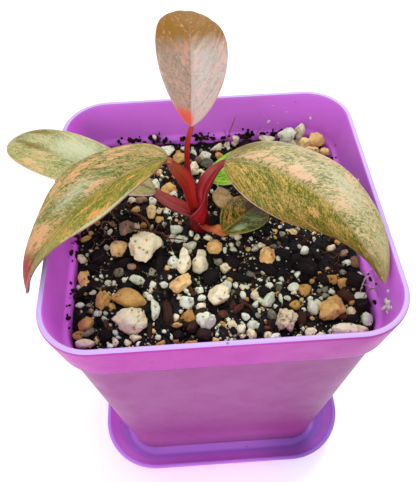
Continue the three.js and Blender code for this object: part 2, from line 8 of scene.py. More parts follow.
import bpy
import numpy as np
from mathutils import Matrix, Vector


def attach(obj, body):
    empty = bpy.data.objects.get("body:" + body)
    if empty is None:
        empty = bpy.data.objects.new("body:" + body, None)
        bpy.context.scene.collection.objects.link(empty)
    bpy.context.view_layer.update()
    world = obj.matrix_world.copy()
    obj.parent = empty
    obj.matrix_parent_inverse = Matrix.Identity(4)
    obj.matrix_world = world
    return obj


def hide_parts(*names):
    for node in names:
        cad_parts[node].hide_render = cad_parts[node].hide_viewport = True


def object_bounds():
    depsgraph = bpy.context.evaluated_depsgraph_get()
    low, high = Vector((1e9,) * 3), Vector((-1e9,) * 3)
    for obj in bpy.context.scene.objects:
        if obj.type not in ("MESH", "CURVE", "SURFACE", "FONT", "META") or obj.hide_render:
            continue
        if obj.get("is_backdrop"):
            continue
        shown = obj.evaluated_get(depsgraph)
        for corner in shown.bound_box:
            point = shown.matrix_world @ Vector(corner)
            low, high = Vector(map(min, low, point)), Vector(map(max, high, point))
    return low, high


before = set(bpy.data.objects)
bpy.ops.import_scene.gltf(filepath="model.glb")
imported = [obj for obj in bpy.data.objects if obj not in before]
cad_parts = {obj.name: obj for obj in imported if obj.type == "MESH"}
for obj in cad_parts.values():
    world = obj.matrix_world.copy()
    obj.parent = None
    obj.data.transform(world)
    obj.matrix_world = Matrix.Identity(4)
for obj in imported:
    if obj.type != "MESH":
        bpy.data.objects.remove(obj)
cad_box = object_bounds()
MM = 0.001

# Pot and saucer: half-width across the flats, corner radius and height

POT_PROFILE = [
    (20.6, 4, 3.0),
    (21.5, 4, 2.0),
    (25.3, 5.7, 2.0),
    (26.1, 6.5, 2.8),
    (32.5, 9, 68.5),
    (33.4, 10, 69.0),
    (33.7, 10.2, 69.7),
    (34.99, 10.7, 79.5),
    (34.75, 10.45, 80.0),
    (33.9, 9.6, 80.0),
    (33.7, 9.4, 79.6),
    (32.45, 8.95, 70.1),
    (32.15, 9, 69.6),
    (31.45, 7.75, 69.3),
    (31.25, 7.75, 68.8),
    (24.85, 5.25, 4.25),
    (3.5, 3.49, 4.25),
    (3.5, 3.49, 3.0),
]
SAUCER_PROFILE = [
    (27.0, 9.5, 0.0),
    (27.7, 9.8, 0.4),
    (29.25, 10.7, 1.6),
    (30.8, 12.3, 3.1),
    (32.4, 14.0, 5.3),
    (33.49, 15.0, 7.2),
    (33.49, 15.0, 7.6),
    (32.5, 14.4, 7.6),
    (31.56, 13.4, 6.03),
    (29.92, 11.7, 3.68),
    (28.36, 10.1, 2.28),
    (27.8, 9.5, 2.0),
    (18.6, 4.5, 2.0),
    (17.9, 4.0, 1.25),
]
# The inside of the pot's step under its collar: half-widths and heights
STEP_HALVES = (31.2, 31.45, 32.15, 32.45, 32.7)
STEP_HEIGHTS = (69.0, 69.35, 69.65, 70.1, 71.2)
# The potting mix: its even level, and its half-width and corners at its top and at its foot
SOIL_LEVEL = 68.0
SOIL_HALF = 30.9
SOIL_CORNER = 7.4
SOIL_FOOT = 4.3
SOIL_FOOT_HALF = 24.55
SOIL_FOOT_CORNER = 5.0
STEM = (-3.4, 3.2)

# The camera: what it looks at and from how far, its azimuth, elevation and roll, and its focal
# length in pixels of the photo
AIM = np.array([-0.98, 19.94, 40.0])
DISTANCE = 163.96
AZIMUTH, ELEVATION, ROLL = np.radians([-2.06, 51.93, -1.88])
FOCAL = 563.35
PHOTO_WIDTH, PHOTO_HEIGHT = 416, 482

# Stones: x, y, width, depth, height, turn in degrees, how angular, how pitted, finish
STONES = {
    "pumice_stone": (-15.9, -3.8, 6.9, 8.1, 6.2, -12, 0.8, 0.9, "cream"),
    "oval_tan_stone": (-19.3, -16.5, 6.6, 4.5, 4.2, -8, 0.15, 0.1, "tan"),
    "front_cream_stone": (-18.6, -22.3, 6.2, 5.2, 4.8, 6, 0.7, 0.8, "cream"),
    "paired_stone_left": (-7.4, -8.1, 3.0, 6.0, 3.8, 4, 0.3, 0.2, "cream"),
    "paired_stone_right": (-3.8, -7.8, 3.3, 5.6, 3.9, -5, 0.35, 0.2, "cream"),
    "middle_cream_stone": (-0.4, -17.2, 4.6, 4.5, 4.2, 20, 0.7, 0.5, "cream"),
    "middle_tan_stone": (-8.4, -13.4, 4.6, 3.9, 3.6, 14, 0.6, 0.5, "light"),
    "speckled_stone": (12.9, -23.9, 4.0, 4.7, 4.2, 0, 0.3, 1.0, "speckled"),
    "right_tan_stone": (22.7, -22.4, 4.9, 5.2, 4.4, -20, 0.7, 0.5, "tan"),
    "right_cream_stone": (24.2, -27.3, 5.2, 3.0, 3.2, 5, 0.4, 0.4, "cream"),
    "orange_stone": (-0.6, -4.4, 3.2, 3.4, 3.0, 30, 0.6, 0.5, "orange"),
    "left_tan_stone": (-21.9, -3.1, 3.7, 3.6, 3.4, 10, 0.4, 0.2, "orange"),
    "bark_chip": (-11.2, -20.5, 2.2, 6.2, 2.6, 6, 1.0, 0.3, "bark"),
    "long_white_stone": (-13.7, -19.3, 1.8, 5.2, 3.0, 2, 0.5, 0.5, "white"),
    "brown_pebble": (2.4, 10.0, 4.4, 5.2, 3.6, 15, 0.1, 0.0, "pebble"),
    "back_cream_stone": (21.1, 28.4, 4.4, 3.6, 3.6, 0, 0.4, 0.3, "cream"),
    "back_tan_stone": (26.3, 24.6, 4.2, 4.6, 3.8, 25, 0.4, 0.3, "orange"),
    "rough_tan_stone": (-24.9, -16.6, 3.1, 3.5, 3.2, -15, 0.5, 1.0, "tan"),
    "front_white_stone": (-3.4, -23.0, 3.8, 3.2, 3.2, 12, 0.5, 0.6, "white"),
    "left_corner_stone": (-28.0, -21.8, 3.3, 3.0, 3.0, 30, 0.4, 0.4, "tan"),
    "left_orange_stone": (-29.2, -11.1, 2.3, 4.2, 2.8, 5, 0.2, 0.1, "orange"),
    "back_white_stone": (-11.0, 27.2, 4.2, 3.3, 3.2, -10, 0.4, 0.4, "white"),
    "left_brown_stone": (-20.6, 3.2, 3.8, 3.8, 3.2, 40, 0.4, 0.3, "brown"),
    "right_orange_stone": (10.9, -8.1, 3.4, 4.3, 3.2, -25, 0.7, 0.9, "orange"),
}
STONE_SLOTS = {
    "light": "tan_stone",
    "cream": "cream_stone",
    "tan": "tan_stone",
    "speckled": "speckled_stone",
    "orange": "orange_stone",
    "white": "white_stone",
    "brown": "brown_stone",
    "pebble": "brown_stone",
    "bark": "bark",
    "grey": "speckled_stone",
}

# Smaller stones of the mix that have no solid of their own, by finish. The first list has their
# x, y, width and depth. The others have the same for stones that were picked in three
# enlarged parts of the photo, in pixels of that part. Some at the back are moved off the wall.
PARTS = ((60, 215, 10), (205, 215, 9), (95, 120, 7))  # its left and top in the photo, its scale
GRAVEL = {
    "tan": (
        [(-29.3, -24.2, 2.6, 1.8), (-7.2, -21.8, 3.1, 2.6), (17.9, -16.9, 2.7, 2.6),
         (26.5, -15.4, 2.3, 2.3), (24.1, -14.6, 2.3, 2.3), (-7.4, 25.9, 3.6, 3.4), (-20.9, 28.9, 3.2, 2.4)],
        [(375, 85, 60, 50), (830, 75, 70, 60), (310, 180, 50, 50), (255, 235, 110, 55), (370, 325, 35, 40),
         (510, 905, 95, 80), (1000, 1280, 110, 60), (1165, 1090, 110, 50), (1310, 1275, 140, 50)],
        [(390, 300, 50, 42), (1200, 230, 60, 60), (265, 485, 32, 30), (380, 740, 36, 50),
         (810, 800, 100, 100)],
        [(300, 140, 50, 46), (870, 245, 56, 56), (450, 685, 62, 60)],
    ),
    "brown": (
        [],
        [(520, 80, 80, 50), (720, 510, 90, 70), (400, 720, 50, 40)],
        [(560, 190, 50, 40), (1250, 330, 85, 60), (1370, 395, 100, 110)],
        [(720, 260, 60, 60), (320, 545, 80, 60)],
    ),
    "cream": (
        [(27.5, -27, 3.8, 2.4), (-27.9, -26.3, 3.8, 2), (-24.8, -28.4, 3.3, 1.8), (24.2, 28.9, 2.6, 2.2)],
        [(760, 100, 75, 95), (185, 430, 90, 100), (530, 655, 50, 60), (810, 700, 32, 32),
         (555, 1270, 60, 70), (675, 1265, 70, 75), (755, 1220, 120, 80), (1190, 1180, 60, 60),
         (1160, 1030, 65, 80), (1410, 905, 100, 90), (1250, 290, 42, 52), (1300, 350, 52, 42),
         (1365, 205, 60, 60), (1480, 220, 90, 50)],
        [(295, 185, 70, 60), (235, 250, 50, 50), (510, 258, 82, 62), (1140, 280, 80, 60),
         (195, 470, 110, 80), (340, 625, 60, 60), (455, 700, 90, 100), (800, 705, 56, 42),
         (1310, 865, 80, 100), (240, 985, 100, 95), (325, 1010, 80, 90), (340, 1070, 60, 52),
         (425, 1065, 90, 110), (840, 1085, 80, 36), (960, 1050, 110, 80), (1040, 1070, 100, 56)],
        [(690, 320, 70, 100), (740, 345, 46, 42), (770, 375, 62, 52), (850, 180, 90, 60),
         (920, 165, 50, 50), (980, 152, 53, 50), (1181, 143, 60, 42), (1232, 138, 72, 42),
         (1420, 165, 42, 32), (255, 555, 62, 42), (445, 620, 50, 40)],
    ),
    "white": (
        [(1.5, -14.8, 1.9, 3), (-7.3, -17.9, 3.1, 2.9), (29.4, -24.9, 2.2, 2.8), (29.3, -19.2, 2.7, 1.9),
         (15.5, -16.4, 2.3, 2.1), (19, -21.4, 2.6, 2.9), (10, -18.5, 2.7, 3.5), (-13.6, 16.1, 2.4, 4.2),
         (-17.6, -11.6, 3.4, 2.1), (-9.8, -7.6, 2.4, 3.1), (-8.8, 2.3, 3, 2.3), (-7.8, -0.6, 3, 1.9),
         (-5.6, -3.2, 2.5, 2), (-0.8, 26, 3, 2.8), (14.6, 28.8, 3.6, 1.6), (-26.2, 27.6, 2.9, 2.6)],
        [(465, 315, 60, 60), (110, 715, 60, 50), (470, 650, 70, 60), (640, 640, 60, 50), (930, 690, 70, 70),
         (1035, 690, 90, 60), (1100, 620, 42, 42), (190, 880, 80, 60), (370, 965, 80, 65),
         (440, 1020, 60, 70), (485, 1085, 60, 50), (900, 820, 60, 70), (500, 1300, 60, 45),
         (555, 1165, 60, 55), (790, 1280, 60, 50), (980, 1215, 60, 60), (1110, 1190, 35, 75),
         (1265, 755, 50, 42), (1210, 950, 50, 42), (1420, 810, 85, 62), (1395, 745, 80, 80),
         (1110, 380, 60, 50), (1310, 175, 50, 60)],
        [(180, 300, 45, 60), (255, 295, 60, 52), (895, 305, 85, 60), (1290, 405, 85, 60),
         (1440, 520, 80, 50), (835, 530, 60, 60), (690, 565, 50, 42), (525, 510, 40, 42),
         (580, 620, 70, 60), (280, 610, 50, 60), (385, 632, 40, 40), (345, 700, 52, 90), (500, 742, 60, 60),
         (455, 790, 62, 60), (680, 740, 40, 80), (740, 740, 70, 46), (950, 750, 52, 52),
         (1015, 790, 75, 80), (1145, 670, 60, 62), (365, 910, 80, 72), (430, 975, 100, 90),
         (490, 985, 52, 52), (635, 1080, 100, 70), (885, 1020, 32, 42), (100, 1010, 60, 70)],
        [(350, 189, 42, 37), (555, 515, 62, 42), (405, 560, 50, 60)],
    ),
    "grey": (
        [],
        [(585, 560, 100, 90), (930, 575, 90, 95), (280, 870, 60, 42), (280, 1165, 130, 65)],
        [(300, 250, 42, 50), (615, 275, 70, 60), (1250, 500, 62, 52), (410, 520, 80, 60),
         (120, 400, 80, 62), (250, 665, 45, 52), (1080, 660, 60, 60), (1090, 720, 60, 52),
         (595, 890, 80, 110)],
        [(790, 290, 90, 66)],
    ),
    "orange": (
        [(-10.5, 14.2, 4.1, 2.7)],
        [],
        [(630, 120, 50, 52), (795, 140, 100, 60), (1500, 555, 40, 36), (1030, 515, 50, 40),
         (970, 920, 50, 32), (95, 1120, 60, 42)],
        [(57, 205, 70, 53), (1600, 210, 80, 62), (450, 360, 50, 50), (285, 620, 70, 42),
         (395, 640, 66, 100)],
    ),
}

# Stones piled up at the back of the pot: x, y, z, width, depth, height and finish
PILE = [
    (20.5, 28.3, 71.2, 4.4, 3.2, 3.8, "white"), (24.0, 29.3, 71.7, 2.4, 2.4, 4.2, "cream"),
    (24.9, 25.9, 70.6, 2.9, 2.8, 3.2, "orange"), (28.0, 26.2, 71.0, 4.1, 3.4, 3.4, "orange"),
    (29.4, 22.8, 70.0, 2.3, 2.6, 2.2, "orange"), (15.6, 28.9, 69.9, 3.9, 2.0, 1.9, "cream"),
    (-13.6, 31.0, 70.9, 1.1, 0.9, 1.2, "white"), (-28.0, 21.5, 70.2, 2.2, 2.6, 2.6, "cream"),
    (7.4, 29.6, 70.0, 1.8, 1.5, 1.5, "cream"), (26.6, 22.6, 69.8, 2.0, 1.9, 1.6, "tan"),
]
# Where crumbs and chips lie heaped against the back wall: x, y, z
BANKS = [
    (17.2, 30.6, 70.2), (10.6, 30.9, 69.8), (-15.2, 31.0, 70.3), (-13.0, 30.6, 69.7), (-1.0, 31.0, 69.9),
]

# Large pieces of bark on the mix, picked in the photo: x, y, length and width in its
# pixels, the angle from the right up in degrees, and tone
CHUNKS = [
    (232.8, 262.8, 18, 12, -40, 0.2), (238.3, 276.1, 27, 8, -15, 0.15), (211.7, 275, 22, 15, 40, 0.1),
    (308.3, 267.2, 24, 16, -20, 0.1), (324, 279, 14, 9, -50, 0.3), (361.7, 278.3, 22, 13, -15, 0.1),
    (367.2, 302.8, 20, 14, 10, 0.15), (282.8, 252.8, 18, 10, -20, 0.1), (268, 268, 18, 11, -35, 0.15),
    (346.7, 295, 19, 12, -35, 0.75), (222.8, 311.7, 12, 8, -10, 0.9), (301.7, 317.2, 14, 9, 60, 0.6),
    (342.8, 316.1, 11, 6, -30, 0.85), (244, 303, 13, 3.5, -35, 0.8), (251, 307, 9, 3, -60, 0.8),
    (100, 257, 20, 15, 10, 0.1), (83, 289, 26, 6, 30, 0.2), (150, 329, 20, 6, 85, 0.5),
    (83.8, 319, 16, 11, -10, 0.15), (105, 334, 15, 12, 20, 0.1), (160, 258, 26, 8, 85, 0.2),
    (148, 281, 15, 6, 60, 0.2), (93, 267, 15, 8, 0, 0.2), (86, 279, 12, 8, 30, 0.25),
    (204, 334, 17, 9, -15, 0.5), (193, 327, 12, 9, 45, 0.6), (153.6, 137.9, 15, 12, -20, 0.05),
    (126, 262, 14, 8, 30, 0.15), (190, 279, 16, 7, -45, 0.3), (262, 327, 14, 8, 70, 0.1),
    (286, 326, 13, 8, -20, 0.3), (330, 300, 12, 7, 20, 0.2), (318, 255, 13, 8, -60, 0.15),
    (296, 258, 12, 7, 10, 0.2), (120, 296, 12, 7, -20, 0.25), (262, 290, 11, 7, 30, 0.2),
    (228, 300, 10, 6, 60, 0.4), (178, 333, 12, 7, 20, 0.3), (124, 250, 13, 8, -50, 0.1),
    (352, 318, 13, 8, 15, 0.15),
]

# Root fibres that lie on the mix or stand up from it: their points, radius and tone
LONG_FIBRES = [
    ([(-20.5, 3.6, 69.3), (-18.7, 1.6, 69.7), (-16.2, 0.8, 70.0), (-13.4, 0.3, 69.6),
      (-11.2, -0.9, 69.5), (-10.0, -2.6, 69.0)], 0.26, 0.5),
    ([(-12.0, -1.4, 69.2), (-9.5, -2.1, 69.8), (-6.6, -2.5, 69.4)], 0.18, 0.4),
    ([(-19.8, 7.6, 69.2), (-17.5, 5.4, 70.2), (-15.6, 3.6, 70.0), (-14.8, 1.9, 69.4)], 0.3, 0.6),
    ([(5.0, 28.5, 69.0), (5.6, 29.3, 72.0), (6.6, 29.7, 74.8), (7.3, 30.0, 77.0)], 0.14, 0.9),
    ([(4.6, 29.0, 69.0), (4.9, 29.4, 71.5), (4.2, 29.6, 73.6)], 0.1, 0.8),
    ([(12.6, 29.2, 69.0), (12.9, 29.8, 71.2), (13.8, 30.0, 73.2)], 0.1, 0.9),
    ([(-11.6, 28.8, 69.0), (-12.4, 29.8, 71.8), (-12.0, 30.2, 73.6)], 0.12, 0.6),
    ([(29.0, -19.0, 69.2), (29.9, -17.6, 72.5), (30.6, -18.2, 74.0), (31.2, -19.4, 72.6),
      (30.9, -20.4, 71.6), (31.3, -21.4, 72.4)], 0.1, 1.3),
    ([(29.2, -18.4, 69.2), (30.3, -16.8, 73.4), (31.2, -17.3, 74.9), (31.6, -18.6, 73.6)], 0.09, 1.3),
    ([(29.4, -20.4, 69.2), (30.1, -20.0, 71.4), (31.0, -20.9, 73.2), (31.6, -22.2, 72.0)], 0.12, 0.9),
    ([(29.8, -17.2, 69.4), (30.6, -18.6, 71.0), (31.4, -20.2, 71.2)], 0.1, 1.3),
]

# Leaves. base is where the blade starts. Angles are in degrees, at the blade's base and
# at its tip: heading from +X towards +Y, pitch up, roll lifts the left half, fold lifts
# both halves and curl bends them on towards the margin. A third number is how late the change
# sets in. sides are the shares of the width on the left and the right, wave is the height, the
# count and the start of the margin's waves, and end is where the blade is cut off. petiole has
# the points and the half-widths of the stalk, faces where its channel looks at both ends, and
# slim is a factor on its half-widths.
LEAVES = {
    "leaf_upright": {
        "base": (-4.03, 8.41, 93.0), "length": 29.8, "width": 15.0, "shape": (0.74, 0.61),
        "heading": (79, 100, 1), "pitch": (56.3, -62, 2.78), "roll": (-3.5, 11.2),
        "fold": (12.5, 1.8), "curl": -18.3, "sides": (0.95, 1.03), "wave": (0, 2, 0),
        "petiole": [(-3.5, 5.0, 73.5, 0.8), (-4.7, 5.4, 79.2, 0.78), (-5.3, 6.6, 83.1, 0.74),
                    (-5.1, 7.8, 88.6, 0.7)],
        "channel": 0.2, "faces": [(0, -1, 0.3), (0, -1, 0.3)], "slim": 0.8,
    },
    "leaf_left": {
        "base": (-9.1, -0.1, 92.4), "length": 42.6, "width": 18.8, "shape": (0.53, 0.79),
        "heading": (152.6, 223, 0.26), "pitch": (-15, -75.5, 2.85), "roll": (2.8, 27.2),
        "fold": (25.3, 20.5), "curl": -8, "sides": (1.11, 0.93), "wave": (0.83, 1.5, 0.14),
        "petiole": [(-4.5, 3.2, 73.5, 1.3), (-5.1, 2.8, 77.8, 1.25), (-5.6, 2.5, 82.2, 1.55),
                    (-6.5, 2.0, 85.1, 1.65), (-7.5, 1.3, 87.7, 1.4), (-8.6, 0.5, 90.3, 0.95)],
        "channel": 0.35, "faces": [(0.3, -0.8, 0.5), (0.35, -0.75, 0.6)],
    },
    "leaf_back_left": {
        "base": (-13.24, 8.32, 74.62), "length": 39.9, "width": 15.2, "shape": (0.42, 0.58),
        "heading": (180.7, 133.4, 0.97), "pitch": (28.5, -32, 1.82), "roll": (14.2, -9.6),
        "fold": (20.3, 3.3), "curl": -6.1, "sides": (1, 1), "wave": (0, 2, 0),
        "petiole": [(-4.2, 3.5, 70.8, 1.4), (-6.0, 3.5, 72.3, 1.6), (-7.8, 3.8, 73.3, 1.7),
                    (-9.6, 4.4, 74.0, 1.7), (-12.0, 6.5, 74.3, 1.35)],
        "channel": 0.55, "faces": [(0, -0.1, 1), (0.2, 0, 1)], "end": 0.984,
    },
    "leaf_right": {
        "base": (2.87, 6.66, 84.28), "length": 44.1, "width": 19.0, "shape": (0.49, 0.75),
        "heading": (-18.8, -63.2, 0.63), "pitch": (20.3, -39.2, 1), "roll": (-0.5, 64.3),
        "fold": (34, -28), "curl": -37, "sides": (1.05, 0.95), "wave": (0.66, 2, 0.1),
        "petiole": [(-3.3, 2.4, 69.4, 1.5), (-3.15, 1.9, 71.6, 1.85), (-2.95, 1.7, 73.6, 1.9),
                    (-2.25, 2.8, 76.1, 1.35), (-2.0, 3.9, 78.2, 1.5), (-1.0, 4.6, 80.4, 1.6),
                    (0.2, 5.2, 82.2, 1.35), (1.7, 5.9, 83.5, 0.9)],
        "channel": 0.75, "faces": [(-0.45, 0.85, 0.2), (-0.6, -0.35, 0.65)],
    },
    "leaf_low_front": {
        "base": (1.71, -3.22, 72.57), "length": 14.5, "width": 10, "shape": (0.61, 0.74),
        "heading": (34, 53.5, 1), "pitch": (16.9, -33.2, 1), "roll": (2.2, 14.9),
        "fold": (18.9, 4.7), "curl": -5.2, "sides": (1, 1), "wave": (0, 2, 0),
        "petiole": [(-3.3, 2.2, 69.7, 0.7), (-2.0, -0.4, 70.7, 0.85), (-0.1, -2.7, 73.0, 1.25)],
        "channel": 0.3, "faces": [(0.3, 0, 1), (0.2, 0, 1)],
    },
    "leaf_low_back": {
        "base": (-0.97, 11.79, 74.31), "length": 17.1, "width": 10.2, "shape": (0.55, 0.75),
        "heading": (13.2, 24.5, 1), "pitch": (23.7, -4.1, 1.5), "roll": (-3.7, -0.9),
        "fold": (8, 5.6), "curl": -19.8, "sides": (1, 1), "wave": (0, 2, 0),
        "petiole": [(-3.2, 4.2, 70.4, 0.7), (-2.6, 7.2, 71.6, 0.7), (-2.0, 10.2, 73.3, 0.6)],
        "channel": 0.2, "faces": [(0, 0, 1), (0, 0, 1)],
    },
}

# Colours of the leaves, from their darkest green to their salmon, on the left and the right
# half, and their patches of each kind: s, v, reach along s, reach along v and strength. s runs
# from base to tip and v from -1 at the right margin to 1 at the left one. warmth shifts the mix
# of colours of the left and the right half towards salmon. pale is the colour of a painted sheen,
# a reflection of the sky, that the second kind of patch lays on.
SALMON, PAINTED_SHEEN, DARK, BLUSH = 0, 1, 2, 3
LOOKS = {
    "leaf_right": {
        "left": ("606432", "84804C", "A69A70", "C2A47C", "D4A282"),
        "right": ("444A0E", "66661C", "8C7E34", "B08C4C", "C6945C"),
        "warmth": (0.03, 0.0), "vein": "B49C6C", "pale": "B0B296", "dark": "6E5A1C",
        "margin": "DDB4A8", "under": "A77B6B",
        "patches": {
            SALMON: [
                (0.24, 0.17, 0.07, 0.1, 1), (0.38, 0.17, 0.08, 0.11, 1.1), (0.15, 0.28, 0.07, 0.12, 0.8),
                (0.11, 0.16, 0.05, 0.08, 0.9), (0.54, -0.38, 0.045, 0.1, 0.9),
                (0.62, -0.27, 0.07, 0.06, 0.5), (0.13, -0.4, 0.04, 0.2, 0.6), (0.68, 0.6, 0.07, 0.2, 0.35),
                (0.35, -0.7, 0.2, 0.25, 0.3), (0.45, 0.35, 0.1, 0.12, 0.35),
            ],
            PAINTED_SHEEN: [
                (0.58, 0.5, 0.2, 0.3, 0.7), (0.84, 0.6, 0.1, 0.3, 0.5), (0.29, 0.85, 0.15, 0.2, 0.5),
                (0.42, 0.25, 0.2, 0.2, 0.4),
            ],
            DARK: [
                (0.08, 0.62, 0.1, 0.45, 0.9), (0.06, 0.1, 0.05, 0.3, 0.5), (0.97, 0, 0.2, 1.2, 0.65),
            ],
        },
    },
    "leaf_left": {
        "left": ("4A5408", "6C6E14", "927E28", "BA863C", "CE864E"),
        "right": ("4E5824", "706F37", "928450", "B28D61", "C88A63"),
        "warmth": (-0.05, -0.01), "vein": "A8966A", "pale": "AEB296", "dark": "8A2028",
        "margin": "7A4038", "under": "A5776A",
        "patches": {
            SALMON: [
                (0.165, -0.88, 0.035, 0.07, 1), (0.235, -0.87, 0.03, 0.08, 1),
                (0.18, -0.68, 0.05, 0.05, 0.8), (0.235, -0.63, 0.05, 0.06, 0.8),
                (0.32, -0.82, 0.05, 0.07, 0.9), (0.37, -0.8, 0.05, 0.09, 1),
                (0.285, -0.58, 0.04, 0.06, 0.8), (0.43, -0.73, 0.05, 0.11, 0.9),
                (0.5, -0.85, 0.05, 0.09, 1), (0.36, -0.2, 0.06, 0.07, 1.1), (0.13, 0.08, 0.03, 0.08, 0.9),
                (0.2, -0.03, 0.05, 0.04, 0.7), (0.18, 0.4, 0.05, 0.08, 0.7), (0.32, 0.2, 0.03, 0.08, 0.7),
                (0.28, 0.35, 0.03, 0.08, 0.7), (0.46, 0.43, 0.09, 0.1, 0.7), (0.41, 0.8, 0.06, 0.1, 0.8),
                (0.64, -0.95, 0.05, 0.1, 0.9), (0.68, -0.25, 0.08, 0.4, 0.9), (0.73, -0.6, 0.07, 0.4, 0.8),
                (0.78, -0.6, 0.06, 0.5, 0.9),
            ],
            PAINTED_SHEEN: [
                (0.44, -0.35, 0.16, 0.24, 0.7), (0.2, -0.8, 0.2, 0.3, 0.2), (0.38, 1, 0.24, 0.09, 1.5),
            ],
            DARK: [
                (0.82, -1, 0.06, 0.4, 0.5), (0.98, 0.1, 0.15, 1.8, 2.5),
            ],
        },
    },
    "leaf_upright": {
        "left": ("80705F", "8E796A", "9C8275", "AC8676", "C28672"),
        "right": ("9E9087", "AA9B93", "B6A79E", "C1A298", "CE998D"),
        "warmth": (0.02, 0.0), "vein": "C8AEA6", "pale": "BAADA8", "dark": "7E560C",
        "margin": "D08E86", "under": "B08478", "gloss": 0.08,
        "patches": {
            SALMON: [
                (0.52, 0.14, 0.11, 0.07, 1), (0.43, 0.25, 0.07, 0.06, 0.9), (0.6, 0.8, 0.04, 0.12, 0.9),
                (0.53, -0.83, 0.06, 0.13, 1), (0.44, -0.88, 0.06, 0.12, 0.8), (0.38, -0.7, 0.05, 0.16, 0.6),
                (0.43, -0.12, 0.1, 0.05, 0.6), (0.3, -0.35, 0.03, 0.07, 0.8),
                (0.22, -0.27, 0.07, 0.07, 0.7), (0.67, 0.1, 0.09, 0.15, 0.45), (0.66, 0.4, 0.06, 0.3, 0.45),
                (0.67, -0.35, 0.06, 0.4, 0.35),
            ],
            PAINTED_SHEEN: [
                (0.45, -0.3, 0.25, 0.3, 0.7), (0.25, 0.95, 0.35, 0.1, 0.6),
            ],
            DARK: [
                (0.86, 0, 0.27, 2.6, 2.4), (0.72, -0.6, 0.15, 0.5, 1.6), (0.66, 0.5, 0.1, 0.4, 0.9),
            ],
            BLUSH: [(0, 0.7, 0.14, 1.1, 1.3)],
        },
    },
    "leaf_back_left": {
        "left": ("5A6424", "7A7E42", "98945E", "B09A68", "C4986C"),
        "right": ("666C38", "868854", "9E9C6E", "B29E70", "C29874"),
        "warmth": (0.03, 0.0), "vein": "B0B088", "pale": "B2B692", "dark": "6E4E18",
        "margin": "D6A496", "under": "B59A80",
        "patches": {
            SALMON: [
                (0.68, 0.73, 0.05, 0.2, 0.8), (0.6, 0.2, 0.06, 0.1, 0.5), (0.7, -0.6, 0.05, 0.2, 0.5),
                (0.5, -0.9, 0.06, 0.12, 0.5), (0.82, 0.4, 0.1, 0.3, 0.4),
            ],
            PAINTED_SHEEN: [
                (0.5, -0.4, 0.2, 0.55, 1.1), (0.3, 0, 0.2, 0.8, 0.6), (0.97, -0.4, 0.04, 0.5, 0.8),
            ],
            DARK: [
                (0.8, 0.02, 0.22, 0.12, 1), (0.84, -0.75, 0.18, 0.2, 0.9), (0.93, -0.3, 0.06, 0.35, 0.7),
                (0.4, 0.12, 0.2, 0.1, 0.4),
            ],
        },
    },
    "leaf_low_front": {
        "left": ("1E2A04", "38440C", "64581A", "9A6C26", "B67C38"),
        "right": ("2A3406", "4A560E", "6E6A18", "966E26", "AE782A"),
        "warmth": (0.03, -0.10), "vein": "9A7A34", "pale": "A8B48C", "dark": "3A1E0C",
        "margin": "7E7C34", "under": "7A4A34",
        "patches": {
            SALMON: [(0.3, 0.45, 0.3, 0.16, 0.5)],
            PAINTED_SHEEN: [
                (0.5, -0.6, 0.2, 0.4, 0.3), (0.2, -0.5, 0.12, 0.26, 0.9),
            ],
            DARK: [(0.75, 0.1, 0.25, 0.9, 1)],
        },
    },
    "leaf_low_back": {
        "left": ("4E8014", "6E9E22", "88B430", "9CC040", "AACA54"),
        "right": ("467A10", "649A1C", "80B02A", "96BC3A", "A6C64E"),
        "warmth": (0.0, 0.0), "vein": "A8C860", "pale": "B6D080", "dark": "4E7A1C",
        "margin": "B9C46A", "under": "7E8E3E",
        "patches": {
            PAINTED_SHEEN: [(0.4, 0.6, 0.4, 0.3, 0.4)],
        },
    },
}


# Numbers


def linear(code):
    """A colour from its six hexadecimal digits, as the shaders take it."""
    parts = [int(code[i : i + 2], 16) / 255 for i in (0, 2, 4)]
    return tuple(c / 12.92 if c <= 0.04045 else ((c + 0.055) / 1.055) ** 2.4 for c in parts)


def scatter(cells, seed):
    """A number from 0 to 1 for each whole-numbered place, the same each time."""
    x, y, z = cells.T
    mixed = (x * 73856093 ^ y * 19349663 ^ z * 83492791 ^ (seed + 1) * 2654435761) & 0xFFFFFFFF
    mixed = (mixed ^ (mixed >> 15)) * 2246822519 & 0xFFFFFFFF
    mixed = (mixed ^ (mixed >> 13)) * 3266489917 & 0xFFFFFFFF
    return (mixed ^ (mixed >> 16)) / 0xFFFFFFFF


def noise(points, size, seed=0):
    """Smooth noise from -1 to 1 with lumps of about that size."""
    place = np.asarray(points, float) / size + 0.37 + 11.3 * seed
    cell = np.floor(place).astype(np.int64)
    share = place - cell
    share = share * share * (3 - 2 * share)
    total = np.zeros(len(place))
    for corner in range(8):
        offset = np.array([corner & 1, corner >> 1 & 1, corner >> 2 & 1])
        total += scatter(cell + offset, seed) * np.prod(np.where(offset, share, 1 - share), axis=1)
    return 2 * total - 1


def knobs(points, size, seed=0):
    """Round lumps side by side, from about 1 at their middles down to 0 in the creases."""
    place = np.asarray(points, float) / size + 3.7 * seed
    cell = np.floor(place).astype(np.int64)
    nearest = np.full(len(place), 9.0)
    for offset in np.ndindex(3, 3, 3):
        corner = cell + np.array(offset) - 1
        middle = corner + np.stack([scatter(corner, seed + k) for k in range(3)], -1)
        nearest = np.minimum(nearest, ((middle - place) ** 2).sum(-1))
    return 1 - np.minimum(np.sqrt(nearest), 1)


def fractal(points, size, octaves, seed=0, fade=0.5):
    """Noise with finer and finer lumps on it."""
    total = np.zeros(len(points))
    for step in range(octaves):
        total += fade**step * noise(points, size / 2**step, seed + step)
    return total


def smooth_step(low, high, value):
    share = np.clip((value - low) / (high - low), 0, 1)
    return share * share * (3 - 2 * share)


def unit(vectors):
    return vectors / np.maximum(np.linalg.norm(vectors, axis=-1, keepdims=True), 1e-12)


def axes(back, roll=0.0):
    """Right, up and back of something that looks along -back."""
    right = unit(np.cross([0, 0, 1.0], back))
    up = np.cross(back, right)
    c, s = math.cos(roll), math.sin(roll)
    return np.array([right * c + up * s, up * c - right * s, back])


